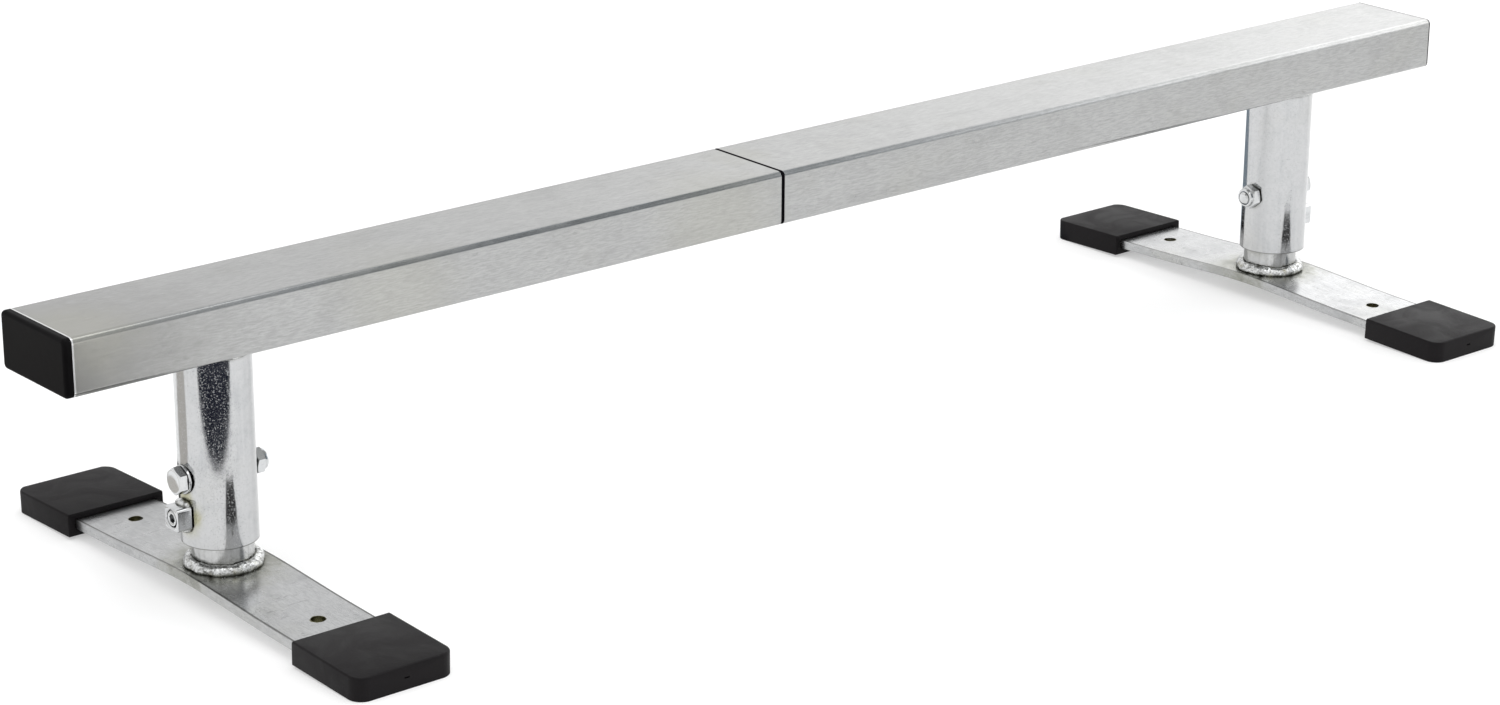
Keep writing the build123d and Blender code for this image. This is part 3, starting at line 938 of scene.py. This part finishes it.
@dataclass
class Rail:
    """The two rectangular tubes, their end caps and the joint between them."""

    palette: Palette
    mark_radius: float = 0.9 * MM
    mark_gap: float = 5.0 * MM

    def build(self) -> None:
        """Build the cap's moulding marks and the seam's weld beads."""
        low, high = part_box("near_end_cap")
        face_x = low.x
        middle = (low + high) / 2
        for index, side in enumerate((-1, 1)):
            origin = Vector((face_x + 0.25 * MM, middle.y - 5 * MM, middle.z + side * self.mark_gap / 2))
            mark = Turned(f"near_cap_mark_{index + 1}", origin, Vector((-1, 0, 0)), Vector((0, 0, 1)), 24)
            mark.ring(1.15 * self.mark_radius, 0.0).ring(self.mark_radius, 0.2 * MM)
            mark.ring(0.6 * self.mark_radius, 0.27 * MM).ring(0.2 * self.mark_radius, 0.245 * MM)
            settle(mark.build(), "near_section", self.palette.cap)
        self.build_seam_welds()

    def build_seam_welds(self) -> None:
        """Build the two beads beside the clamp nut under the seam."""
        low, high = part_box("seam_clamp_nut")
        for index, (x, sign) in enumerate(((low.x, -1), (high.x, 1))):
            count = 40
            path = [
                Vector((x + sign * 0.5 * MM, low.y + (high.y - low.y) * (0.04 + 0.92 * i / (count - 1)), high.z - 0.5 * MM))
                for i in range(count)
            ]
            out = [Vector((sign, 0, -1)).normalized()] * count
            bead = WeldBead(f"seam_clamp_bead_{index + 1}", path, out, 1.9 * MM, False, 31 + index, 1.8 * MM)
            replaced = ("seam_clamp_welds",) if index == 0 else ()
            settle(bead.build(), "far_section", self.palette.weld, replaced)

    def dress(self) -> None:
        """Give the rail's CAD nodes their finishes."""
        nodes = frame["nodes"]
        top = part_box("near_rail_tube")[1].z
        seam_x = centre_of("seam_gasket").x
        near_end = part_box("near_rail_tube")[0].x
        seam_edges = tuple(
            Stain((corner.x, 0, 0), 0.35 * MM, (0.006, 0.006, 0.007), 1.0, 0.25, (1.0, 0.0, 0.0))
            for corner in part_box("seam_gasket")
        )
        side_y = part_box("near_rail_tube")[0].y
        yellow, end_highlight = (0.40, 0.395, 0.33), (0.80, 0.80, 0.80)
        tube = PlatedSteel(
            "zinc_rail_tube",
            bright=(0.455, 0.458, 0.455),
            dark=(0.375, 0.378, 0.375),
            drawn=Along.RAIL,
            rough_low=0.20,
            rough_high=0.30,
            streak_share=0.35,
            tarnish=(0.39, 0.39, 0.36),
            tarnish_share=0.35,
            scratch_share=0.16,
            grain_share=0.30,
            stains=(
                Stain((near_end, side_y, top - 20 * MM), 95 * MM, (0.29, 0.29, 0.28), 0.60, 0.6),
                Stain((near_end + 12 * MM, -20 * MM, top), 34 * MM, yellow, 0.40, 0.6),
                Stain((near_end + 250 * MM, side_y, top - 24 * MM), 40 * MM, yellow, 0.25, 0.6),
                Stain((seam_x - 60 * MM, side_y, top - 26 * MM), 46 * MM, yellow, 0.28, 0.6),
                Stain((seam_x, 10 * MM, top), 22 * MM, yellow, 0.22, 0.6),
                # painted highlight: a bright thin line round the tube at its near end
                Stain((near_end, 0, 0), 1.1 * MM, end_highlight, 1.0, 0.35, (1.0, 0.0, 0.0)),
                *seam_edges,
            ),
        ).material()
        inner = PlatedSteel(
            "zinc_connector",
            bright=(0.66, 0.67, 0.68),
            dark=(0.48, 0.49, 0.50),
            drawn=Along.RAIL,
            rough_low=0.28,
            rough_high=0.42,
        ).material()
        for node in ("near_rail_tube", "far_rail_tube"):
            wear(nodes[node], tube)
        wear(nodes["connector_tube"], inner)
        for node in ("connector_screws", "connector_nuts", "seam_clamp_nut", "seam_set_screw"):
            wear(nodes[node], self.palette.fastener)
        for node in ("near_end_cap", "far_end_cap"):
            wear(nodes[node], self.palette.cap)
        wear(nodes["seam_gasket"], self.palette.seam)


@dataclass
class Leg:
    """One welded sleeve with its cross bolt, lock nut, weld nut and clamp screw."""

    end: End
    palette: Palette
    bolt_d: float = 10.0 * MM
    bolt_pitch: float = 1.5 * MM
    thread_length: float = 30.0 * MM
    head_flats: float = 17.0 * MM
    screw_d: float = 12.0 * MM
    screw_pitch: float = 1.75 * MM
    socket_flats: float = 6.0 * MM
    nut_corner: float = 1.8 * MM

    @property
    def section(self) -> str:
        """CAD body of the rail section that the sleeve is welded to."""
        return f"{self.end.value}_section"

    @property
    def axis(self) -> Vector:
        """Point on the sleeve's axis, at the floor."""
        middle = centre_of(self.node("leg_sleeve"))
        return Vector((middle.x, middle.y, 0.0))

    @property
    def outward(self) -> Vector:
        """Direction along the rail towards this end."""
        return Vector((self.end.outward, 0, 0))

    def node(self, name: str) -> str:
        """Full name of one of this leg's nodes."""
        return f"{self.end.value}_{name}"

    def reach(self, node: str, outer: bool) -> float:
        """How far a node's box reaches from the leg's axis along the outward direction.

        Args:
            node: name without its end.
            outer: whether the side that lies further outward is meant.

        Returns:
            The distance in metres.
        """
        ends = [(corner - self.axis).dot(self.outward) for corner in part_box(self.node(node))]
        return max(ends) if outer else min(ends)

    def turned(self, name: str, outward: bool, height: float, angle: float = 0.0) -> Turned:
        """Start a turned piece on a horizontal axis through the leg.

        Args:
            name: name without its end.
            outward: whether its axis points outward.
            height: height of its axis.
            angle: turn about its own axis, in degrees.

        Returns:
            The builder.
        """
        axis = self.outward if outward else -self.outward
        up = Matrix.Rotation(math.radians(angle), 3, axis) @ Vector((0, 0, 1))
        origin = self.axis + Vector((0, 0, height))
        return Turned(self.node(name), origin, axis, up)

    def build(self) -> None:
        """Build the fasteners and the welds of this leg."""
        self.build_bolt()
        self.build_washer()
        self.build_lock_nut()
        self.build_weld_nut()
        self.build_clamp_screw()
        self.build_nut_beads()
        self.build_sleeve_weld()

    def build_bolt(self) -> None:
        """Hex bolt with a washer face, a chamfered head, a plain shank and a rolled thread."""
        height = centre_of(self.node("cross_bolt")).z
        seat = self.reach("bolt_washer", True)
        top = self.reach("cross_bolt", True)
        tip = self.reach("cross_bolt", False)
        radius = self.bolt_d / 2
        bolt = self.turned("hex_bolt", True, height, 4.0 if self.end is End.NEAR else -9.0)
        bolt.ring(0.0002, tip).ring(radius - 1.3 * MM, tip).ring(radius - 1.1 * MM, tip + 0.1 * MM)
        bolt.thread(self.bolt_d, tip + 0.9 * MM, tip + self.thread_length, self.bolt_pitch)
        bolt.ring(radius, tip + self.thread_length + 1.2 * MM).ring(radius, seat)
        bolt.ring(0.47 * self.head_flats, seat).ring(0.47 * self.head_flats, seat + 0.35 * MM)
        bolt.chamfered_hexagon(self.head_flats, seat + 0.35 * MM, 0.49 * self.head_flats, -0.35)
        bolt.chamfered_hexagon(self.head_flats, top, 0.455 * self.head_flats, 1.0)
        bolt.ring(0.455 * self.head_flats, top).ring(0.43 * self.head_flats, top - 0.02 * MM)
        bolt.ring(0.41 * self.head_flats, top - 0.14 * MM).ring(0.0002, top - 0.14 * MM)
        replaced = (self.node("cross_bolt"),)
        settle(bolt.build(), self.section, self.palette.fastener, replaced)

    def build_washer(self) -> None:
        """Flat washer with one punched, rounded rim and one sharp rim."""
        height = centre_of(self.node("bolt_washer")).z
        low, high = self.reach("bolt_washer", False), self.reach("bolt_washer", True)
        rim = (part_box(self.node("bolt_washer"))[1].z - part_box(self.node("bolt_washer"))[0].z) / 2
        bore = self.bolt_d / 2 + 0.15 * MM
        washer = self.turned("flat_washer", True, height)
        washer.closed = True
        washer.ring(bore, low).ring(rim, low).ring(rim, high - 0.4 * MM)
        washer.ring(rim - 0.15 * MM, high - 0.12 * MM).ring(rim - 0.45 * MM, high).ring(bore, high)
        replaced = (self.node("bolt_washer"),)
        settle(washer.build(), self.section, self.palette.fastener, replaced)

    def build_lock_nut(self) -> None:
        """Lock nut with chamfered corners, a rolled collar and a nylon ring under its lip."""
        height = centre_of(self.node("lock_nut")).z
        seat = -self.reach("lock_nut", True)
        end = -self.reach("lock_nut", False)
        flats = self.head_flats
        hexagon = seat + 7.0 * MM
        collar = 7.3 * MM
        bore = self.bolt_d / 2 - 0.1 * MM
        nut = self.turned("hex_lock_nut", False, height, 11.0)
        nut.closed = True
        nut.ring(bore, seat).ring(0.46 * flats, seat)
        nut.chamfered_hexagon(flats, seat, 0.46 * flats, -1.0)
        nut.chamfered_hexagon(flats, hexagon, 0.455 * flats, 1.0)
        nut.ring(0.455 * flats, hexagon).ring(collar + 0.1 * MM, hexagon + 0.15 * MM)
        for step in range(7):
            turn = math.pi / 2 * step / 6
            nut.ring(
                collar - 1.1 * MM * (1 - math.cos(turn)),
                end - 1.1 * MM * (1 - math.sin(turn)),
            )
        nut.ring(5.7 * MM, end).ring(5.6 * MM, end - 0.6 * MM).ring(bore, end - 0.62 * MM)
        replaced = (self.node("lock_nut"),)
        settle(nut.build(), self.section, self.palette.fastener, replaced)

    def square(self, grow: float, height: float) -> Ring:
        """Ring of the weld nut's outline, with rounded corners.

        Args:
            grow: how far it lies outside the nut's sides.
            height: distance along the axis.

        Returns:
            The ring.
        """
        low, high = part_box(self.node("weld_nut"))
        half = (high.z - low.z) / 2 + grow
        corner = self.nut_corner

        def outline(angle: float) -> tuple[float, float]:
            """Radius and height of the outline at an angle."""
            c, s = abs(math.cos(angle)), abs(math.sin(angle))
            straight = half / max(c, s)
            if min(c, s) * straight <= half - corner:
                return straight, height
            inner = half - corner
            along = inner * (c + s)
            return along + math.sqrt(along**2 - 2 * inner**2 + corner**2), height

        return outline

    def build_weld_nut(self) -> None:
        """Square weld nut with softened edges and a countersunk thread."""
        height = centre_of(self.node("weld_nut")).z
        back, face = self.reach("weld_nut", False), self.reach("weld_nut", True)
        bore = self.screw_d / 2 + 0.12 * MM
        nut = self.turned("square_weld_nut", True, height)
        nut.segments = 128
        nut.closed = True
        nut.ring(bore, back).shaped(self.square(0.0, back)).shaped(self.square(0.0, face - 1.0 * MM))
        nut.shaped(self.square(-0.25 * MM, face - 0.35 * MM)).shaped(self.square(-0.9 * MM, face))
        nut.ring(bore + 1.0 * MM, face).ring(bore + 0.8 * MM, face - 0.12 * MM).ring(bore, face - 0.9 * MM)
        replaced = (self.node("weld_nut"),)
        settle(nut.build(), self.section, self.palette.fastener, replaced)

    def build_clamp_screw(self) -> None:
        """Socket set screw with a chamfered end, a rolled thread and a cup point."""
        height = centre_of(self.node("set_screw")).z
        tip, end = self.reach("set_screw", False), self.reach("set_screw", True)
        radius = self.screw_d / 2
        screw = self.turned("socket_set_screw", True, height, 17.0)
        screw.ring(0.0002, tip + 1.6 * MM).ring(radius - 2.6 * MM, tip).ring(radius - 1.6 * MM, tip)
        screw.thread(self.screw_d, tip + 1.0 * MM, end - 0.9 * MM, self.screw_pitch)
        screw.ring(radius - 0.9 * MM, end - 0.1 * MM).ring(radius - 1.1 * MM, end)
        screw.ring(0.58 * self.socket_flats + 0.5 * MM, end)
        screw.chamfered_hexagon(self.socket_flats, end - 0.35 * MM, 0.5 * self.socket_flats, -0.4)
        screw.hexagon(self.socket_flats, end - 6.0 * MM).ring(0.0002, end - 7.6 * MM)
        replaced = (self.node("set_screw"),)
        body = f"{self.end.value}_clamp_screw"
        settle(screw.build(), body, self.palette.fastener, replaced)

    def build_nut_beads(self) -> None:
        """Beads above and below the weld nut, following the sleeve's curve."""
        low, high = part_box(self.node("weld_nut"))
        sleeve_low, sleeve_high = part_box(self.node("leg_sleeve"))
        radius = (sleeve_high.x - sleeve_low.x) / 2
        count = 56
        for index, (z, rise) in enumerate(((high.z, 1), (low.z, -1))):
            path, out = [], []
            for step in range(count):
                y = 0.43 * (high.z - low.z) * (2 * step / (count - 1) - 1)
                on_sleeve = self.outward.x * (math.sqrt(radius**2 - y**2) + 1.6 * MM)
                path.append(self.axis + Vector((on_sleeve, y, z + rise * 0.2 * MM)))
                out.append((self.outward + Vector((0, 0, rise))).normalized())
            name = self.node(f"weld_nut_bead_{index + 1}")
            seed = 7 + 5 * index + (40 if self.end is End.FAR else 0)
            bead = WeldBead(name, path, out, 2.9 * MM, False, seed, 2.1 * MM, 0.24)
            replaced = (self.node("weld_nut_beads"),) if index == 0 else ()
            settle(bead.build(), self.section, self.palette.weld, replaced)

    def build_sleeve_weld(self) -> None:
        """Bead round the sleeve's top, against the rail's underside."""
        sleeve_low, sleeve_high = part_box(self.node("leg_sleeve"))
        radius = (sleeve_high.x - sleeve_low.x) / 2
        top = sleeve_high.z
        count = 320
        path, out = [], []
        for step in range(count):
            angle = math.tau * step / count
            spoke = Vector((math.cos(angle), math.sin(angle), 0))
            path.append(self.axis + spoke * (radius + 1.2 * MM) + Vector((0, 0, top - 1.2 * MM)))
            out.append((spoke - Vector((0, 0, 1))).normalized())
        seed = 60 if self.end is End.FAR else 20
        bead = WeldBead(self.node("sleeve_bead"), path, out, 3.1 * MM, True, seed)
        replaced = (self.node("sleeve_weld"),)
        settle(bead.build(), self.section, self.palette.weld, replaced)

    def dress(self) -> None:
        """Give the leg's CAD nodes their finishes."""
        nodes = frame["nodes"]
        nut = centre_of(self.node("weld_nut"))
        bolt = centre_of(self.node("bolt_washer"))
        between = (nut + bolt) / 2
        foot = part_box(self.node("leg_sleeve"))[0].z
        flux, olive = (0.42, 0.40, 0.22), (0.30, 0.28, 0.08)
        beside = Vector((nut.x - self.outward.x * 5 * MM, -9 * MM, nut.z))
        sleeve = PlatedSteel(
            f"zinc_sleeve_{self.end.value}",
            bright=(0.56, 0.565, 0.57),
            dark=(0.40, 0.41, 0.425),
            drawn=Along.LEG,
            rough_low=0.09,
            rough_high=0.16,
            streak_share=0.40,
            cloud_scale=55.0,
            spangle=0.16,
            spangle_scale=600.0,
            speckle=0.00006,
            tarnish=(0.47, 0.45, 0.38),
            tarnish_share=0.22,
            scratch_share=0.08,
            # painted shade: olive-dark crevice darkening round the welds, the nut and the bolt
            crevice_shade=(0.07, 0.07, 0.035),
            crevice_shade_share=0.85,
            stains=(
                Stain(tuple(nut), 15 * MM, flux, 0.40, 0.4),
                Stain(tuple(between), 8 * MM, flux, 0.55, 0.5),
                Stain(tuple(beside), 6 * MM, olive, 0.50, 0.5),
                Stain((0, 0, foot), 0.7 * MM, (0.20, 0.20, 0.19), 0.8, 0.3, (0.0, 0.0, 1.0)),
            ),
        ).material()
        stub = PlatedSteel(
            f"zinc_stub_{self.end.value}",
            bright=(0.56, 0.565, 0.565),
            dark=(0.22, 0.22, 0.21),
            drawn=Along.LEG,
            rough_low=0.14,
            rough_high=0.26,
            streak_share=0.70,
            spangle=0.15,
            tarnish=(0.28, 0.27, 0.18),
            tarnish_share=0.45,
            # painted shade: dark crevice darkening where the stub meets the sleeve, the weld and the bar
            crevice_shade=(0.08, 0.08, 0.06),
            crevice_shade_share=0.7,
            crevice_shade_reach=4.0 * MM,
        ).material()
        wear(nodes[self.node("leg_sleeve")], sleeve)
        wear(nodes[self.node("leg_stub")], stub)
        wear(nodes[self.node("lock_nut_insert")], self.palette.nylon)


@dataclass
class Foot:
    """One bent flat bar with its stub's weld and its two rubber boots."""

    end: End
    palette: Palette
    tilt: float = 1.7
    boot_length: float = 73.6 * MM
    boot_height: float = 16.5 * MM
    boot_floor: float = 5.0 * MM
    bar_thickness: float = 7.0 * MM
    end_wall: float = 6.0 * MM
    bead_radius: float = 4.6 * MM
    spatter_count: int = 16

    @property
    def body(self) -> str:
        """CAD body of this foot."""
        return f"{self.end.value}_foot"

    def node(self, name: str) -> str:
        """Full name of one of this foot's nodes."""
        return f"{self.end.value}_{name}"

    def bar_top(self, x: float, y: float) -> float:
        """Height of the bar's upper side at a place.

        Args:
            x: place along the rail.
            y: place across it.

        Returns:
            The height.
        """
        bar = frame["nodes"][self.node("foot_bar")]
        hit, place, _, _ = bar.ray_cast(Vector((x, y, 0.1)), Vector((0, 0, -1)))
        return place.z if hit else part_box(self.node("foot_bar"))[1].z

    def build(self) -> None:
        """Build the boots, the stub's weld and its spatter."""
        for name, side in (("front_boot", -1), ("back_boot", 1)):
            self.build_boot(name, side)
        self.build_stub_weld()
        self.build_spatter()

    def build_boot(self, name: str, side: int) -> None:
        """Build one rubber boot.

        Args:
            name: name of its node without the end.
            side: 1 at the back, -1 at the front.
        """
        low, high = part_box(self.node(name))
        bar_low, bar_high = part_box(self.node("foot_bar"))
        lean = math.radians(self.tilt)
        outer = high.y if side > 0 else -low.y
        sole_edge = side * (outer - self.boot_height * math.sin(lean))
        shell = BootShell(
            self.node(name.replace("boot", "rubber_boot")),
            self.boot_length,
            high.x - low.x,
            self.boot_height,
            self.boot_floor,
            bar_high.x - bar_low.x,
            self.bar_thickness,
            self.end_wall,
        )
        turn = Matrix.Rotation(0.0 if side > 0 else math.pi, 4, "Z")
        tip = Matrix.Rotation(-lean, 4, "X")
        middle_x = (low.x + high.x) / 2
        place = Matrix.Translation((middle_x, sole_edge, 0)) @ turn @ tip
        settle(shell.build(place), self.body, self.palette.rubber, (self.node(name),))

    def build_stub_weld(self) -> None:
        """Bead round the stub, on the bent top of the bar."""
        low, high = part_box(self.node("leg_stub"))
        middle, radius = (low + high) / 2, (high.x - low.x) / 2
        count = 360
        path, out = [], []
        for step in range(count):
            angle = math.tau * step / count
            spoke = Vector((math.cos(angle), math.sin(angle), 0))
            wander = 0.55 * MM * noise.noise(spoke * 2.3 + Vector((self.bead_radius * 900, 0, 3)))
            flat = Vector((middle.x, middle.y, 0)) + spoke * (radius + 1.7 * MM + wander)
            path.append(flat + Vector((0, 0, self.bar_top(flat.x, flat.y) + 2.0 * MM)))
            out.append((spoke + Vector((0, 0, 1))).normalized())
        seed = 90 if self.end is End.FAR else 80
        bead = WeldBead(self.node("stub_bead"), path, out, self.bead_radius, True, seed, 5.2 * MM, 0.24, 0.03, 78.0)
        settle(bead.build(), self.body, self.palette.weld, (self.node("stub_weld"),))

    def build_spatter(self) -> None:
        """Small drops of weld metal round the stub."""
        chance = random.Random(11 if self.end is End.NEAR else 12)
        low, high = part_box(self.node("leg_stub"))
        middle, radius = (low + high) / 2, (high.x - low.x) / 2
        work = bmesh.new()
        for _ in range(self.spatter_count):
            angle = chance.uniform(0, math.tau)
            away = radius + chance.uniform(5.5, 9.5) * MM
            size = chance.uniform(0.25, 0.7) * MM
            x = middle.x + away * math.cos(angle)
            y = middle.y + away * math.sin(angle)
            place = Matrix.Translation((x, y, self.bar_top(x, y)))
            shape = place @ Matrix.Diagonal((1.0, 1.0, 0.7, 1.0))
            bmesh.ops.create_icosphere(work, subdivisions=2, radius=size, matrix=shape)
        for face in work.faces:
            face.smooth = True
        mesh = bpy.data.meshes.new(self.node("weld_spatter"))
        work.to_mesh(mesh)
        work.free()
        drops = bpy.data.objects.new(self.node("weld_spatter"), mesh)
        bpy.context.scene.collection.objects.link(drops)
        settle(drops, self.body, self.palette.weld)

    def dress(self) -> None:
        """Give the foot bar its finish, with soot and painted shade round the stub, a stain ring round the weld,
        painted shade in the holes and along the long edges, and painted crevice shade.
        """
        stub = centre_of(self.node("leg_stub"))
        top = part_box(self.node("foot_bar"))[1].z
        soot_and_shade, olive = (0.17, 0.175, 0.15), (0.15, 0.14, 0.07)
        upright = (1.0, 1.0, 0.0)
        mount = next(
            m for m in frame["record"]["mounts"] if m["name"] == self.node("foot_anchor_holes")
        )
        half_pitch = mount["dims"]["spacing_y_mm"] * MM / 2
        hole_radius = mount["dims"]["hole_r_mm"] * MM
        # painted shade: the anchor holes' walls darkened to a deep olive
        holes = tuple(
            Stain((stub.x, side * half_pitch, 0), hole_radius + 0.25 * MM, olive, 1.0, 0.04, upright)
            for side in (-1, 1)
        )
        sides = [corner.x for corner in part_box(self.node("foot_bar"))]
        # painted shade: dark lines just inside the bar's two long edges
        edges = tuple(
            Stain((inner, 0, 0), 0.7 * MM, (0.10, 0.10, 0.095), 0.9, 0.3, (1.0, 0.0, 0.0))
            for inner in (sides[0] + 1.3 * MM, sides[1] - 1.3 * MM)
        )
        bar = PlatedSteel(
            f"zinc_bar_{self.end.value}",
            bright=(0.53, 0.535, 0.54),
            dark=(0.38, 0.385, 0.39),
            drawn=Along.FOOT,
            rough_low=0.25,
            rough_high=0.38,
            streak_share=0.3,
            cloud_scale=48.0,
            tarnish=(0.40, 0.40, 0.35),
            tarnish_share=0.35,
            scratch_share=0.55,
            grain_share=0.25,
            # painted shade: crevice darkening where the bar meets the weld, the stub and the boots
            crevice_shade=(0.07, 0.07, 0.05),
            crevice_shade_share=0.8,
            crevice_shade_reach=4.0 * MM,
            stains=(
                # soot round the weld and painted shade under the sleeve: a dark disc on the bar top round the stub
                Stain((stub.x, stub.y, top), 33 * MM, soot_and_shade, 0.80, 0.25),
                Stain((stub.x, stub.y, top), 42 * MM, (0.30, 0.30, 0.23), 0.35, 0.3, hollow=0.7),
                *holes,
                *edges,
            ),
        ).material()
        wear(frame["nodes"][self.node("foot_bar")], bar)


# ---------------------------------------------------------------------------------- studio


@dataclass
class Studio:
    """Pale floor, soft light and the camera."""

    camera_place: Triple = (-1.75067, -2.02113, 0.98711)
    heading: float = 0.8914
    dip: float = 0.3538
    lens: float = 91.1
    shift: tuple[float, float] = (0.0455, 0.046)
    floor_size: float = 60.0
    sky: float = 0.97
    gap_depth: float = 0.97
    wall_gain: float = 0.56
    lip_gain: float = 1.5
    floor_glow: float = 0.42
    softbox_power: float = 20.0

    def build(self) -> None:
        """Build every part of the studio."""
        self.build_floor()
        self.build_sky()
        self.build_lights()
        self.build_cards()
        self.build_camera()
        bpy.context.scene.view_settings.view_transform = "Standard"

    def build_floor(self) -> None:
        """Lay the pale floor."""
        half = self.floor_size / 2
        corners = [Vector((x * half, y * half, 0)) for x, y in ((-1, -1), (1, -1), (1, 1), (-1, 1))]
        floor = piece_from("studio_floor", corners, [(0, 1, 2, 3)])
        s = Shader("studio_floor")
        s.body.inputs["Roughness"].default_value = 0.95
        s.body.inputs["Specular IOR Level"].default_value = 0.0
        s.body.inputs["Base Color"].default_value = (0.60, 0.60, 0.60, 1.0)
        s.body.inputs["Emission Color"].default_value = (1.0, 1.0, 1.0, 1.0)
        s.body.inputs["Emission Strength"].default_value = self.floor_glow
        wear(floor, s.material)

    def build_sky(self) -> None:
        """White surroundings with a dim gap overhead and a bright wall behind the far end."""
        world = bpy.data.worlds.new("studio_sky")
        bpy.context.scene.world = world
        world.use_nodes = True
        tree = world.node_tree
        tree.nodes.clear()
        out = tree.nodes.new("ShaderNodeOutputWorld")
        glow = tree.nodes.new("ShaderNodeBackground")
        tree.links.new(glow.outputs["Background"], out.inputs["Surface"])
        coords = tree.nodes.new("ShaderNodeTexCoord")
        split = tree.nodes.new("ShaderNodeSeparateXYZ")
        tree.links.new(coords.outputs["Generated"], split.inputs[0])

        def step(axis: str, low: float, high: float, start: float, end: float) -> bpy.types.NodeSocket:
            """Smooth step along one axis of the sky's direction."""
            made = tree.nodes.new("ShaderNodeMapRange")
            made.interpolation_type = "SMOOTHSTEP"
            tree.links.new(split.outputs[axis], made.inputs["Value"])
            for key, value in zip(("From Min", "From Max", "To Min", "To Max"), (low, high, start, end)):
                made.inputs[key].default_value = value
            return made.outputs["Result"]

        def combine(operation: str, first: object, second: object) -> bpy.types.NodeSocket:
            """One arithmetic step on the sky's brightness."""
            made = tree.nodes.new("ShaderNodeMath")
            made.operation = operation
            for socket, value in zip(made.inputs, (first, second)):
                if isinstance(value, bpy.types.NodeSocket):
                    tree.links.new(value, socket)
                else:
                    socket.default_value = value
            return made.outputs["Value"]

        gap = combine("MULTIPLY", step("X", 0.47, 0.54, 0.0, 1.0), step("X", 0.61, 0.69, 1.0, 0.0))
        gap = combine("MULTIPLY", gap, step("Y", 0.10, 0.45, 1.0, 0.0))
        gap = combine("MULTIPLY", gap, step("Z", -0.02, 0.08, 0.0, self.gap_depth))
        wall = combine("MULTIPLY", step("X", 0.50, 0.80, 0.0, self.wall_gain), step("Z", 0.45, 0.75, 1.0, 0.0))
        wall = combine("MULTIPLY", wall, step("Z", 0.0, 0.05, 0.0, 1.0))
        lip = combine("MULTIPLY", step("X", 0.66, 0.75, 0.0, self.lip_gain), step("Z", 0.2, 0.5, 0.0, 1.0))
        level = combine("ADD", combine("MULTIPLY", step("Z", -0.1, 0.9, 0.96, 1.06), self.sky), wall)
        level = combine("ADD", level, lip)
        level = combine("MULTIPLY", level, combine("SUBTRACT", 1.0, gap))
        tree.links.new(level, glow.inputs["Strength"])
        tint = tree.nodes.new("ShaderNodeMix")
        tint.data_type = "RGBA"
        tree.links.new(gap, tint.inputs["Factor"])
        tint.inputs[6].default_value = (1.0, 1.0, 1.0, 1.0)
        tint.inputs[7].default_value = (0.50, 0.76, 1.0, 1.0)
        tree.links.new(tint.outputs[2], glow.inputs["Color"])

    def build_lights(self) -> None:
        """Hang one large overhead softbox."""
        place = Vector((-0.3, -0.5, 2.6))
        lamp = bpy.data.lights.new("overhead_softbox", "AREA")
        lamp.shape = "SQUARE"
        lamp.size = 2.2
        lamp.energy = self.softbox_power
        lit = bpy.data.objects.new("overhead_softbox", lamp)
        bpy.context.scene.collection.objects.link(lit)
        lit.location = place
        lit.rotation_euler = (-place).to_track_quat("-Z", "Y").to_euler()

    def build_cards(self) -> None:
        """Lay low toned cards round the legs, which only their polished sides show."""
        near, far = centre_of("near_leg_sleeve"), centre_of("far_leg_sleeve")
        for name, axis, turn, start, depth, width, colour in (
            ("dark_card", near, 240.0, 0.270, 0.20, 0.38, (0.008, 0.010, 0.020)),
            ("grey_card", near, 240.0, 0.320, 0.60, 0.56, (0.030, 0.032, 0.044)),
            ("brown_card", near, 130.0, 0.20, 0.55, 0.15, (0.50, 0.48, 0.45)),
            ("near_edge_card", near, 66.0, 0.05, 0.22, 0.05, (0.05, 0.05, 0.06)),
            ("far_edge_card", far, 68.0, 0.13, 0.70, 0.25, (0.20, 0.24, 0.28)),
        ):
            angle = math.radians(turn)
            flat = Vector((math.cos(angle), math.sin(angle), 0))
            side = Vector((-flat.y, flat.x, 0))
            corners = []
            for step in range(40):
                around = math.tau * step / 40
                along = start + depth / 2 - depth / 2 * math.cos(around)
                corners.append(
                    Vector((axis.x, axis.y, 0.001)) + flat * along + side * width * math.sin(around)
                )
            card = piece_from(name, corners, [tuple(range(40))])
            s = Shader(name)
            s.body.inputs["Base Color"].default_value = (*colour, 1.0)
            s.body.inputs["Roughness"].default_value = 0.9
            s.body.inputs["Specular IOR Level"].default_value = 0.0
            wear(card, s.material)
            card.visible_camera = False
            card.visible_diffuse = False
            card.visible_shadow = False

    def build_camera(self) -> None:
        """Set the camera at the viewing angle."""
        data = bpy.data.cameras.new("studio_camera")
        data.sensor_width = 36.0
        data.lens = self.lens
        data.shift_x, data.shift_y = self.shift
        data.clip_end = 100.0
        camera = bpy.data.objects.new("studio_camera", data)
        bpy.context.scene.collection.objects.link(camera)
        ahead = Vector(
            (
                math.cos(self.heading) * math.cos(self.dip),
                math.sin(self.heading) * math.cos(self.dip),
                -math.sin(self.dip),
            )
        )
        camera.location = self.camera_place
        camera.rotation_euler = ahead.to_track_quat("-Z", "Y").to_euler()
        bpy.context.scene.camera = camera


def main() -> None:
    """Build and dress every sub-assembly, then the studio."""
    logging.basicConfig(level=logging.INFO, format="%(name)s: %(message)s")
    palette = Palette.mixed()
    rail = Rail(palette)
    rail.build()
    rail.dress()
    for end in End:
        leg = Leg(end, palette)
        leg.build()
        leg.dress()
        foot = Foot(end, palette)
        foot.build()
        foot.dress()
    Studio().build()


if __name__ == "__main__":
    main()
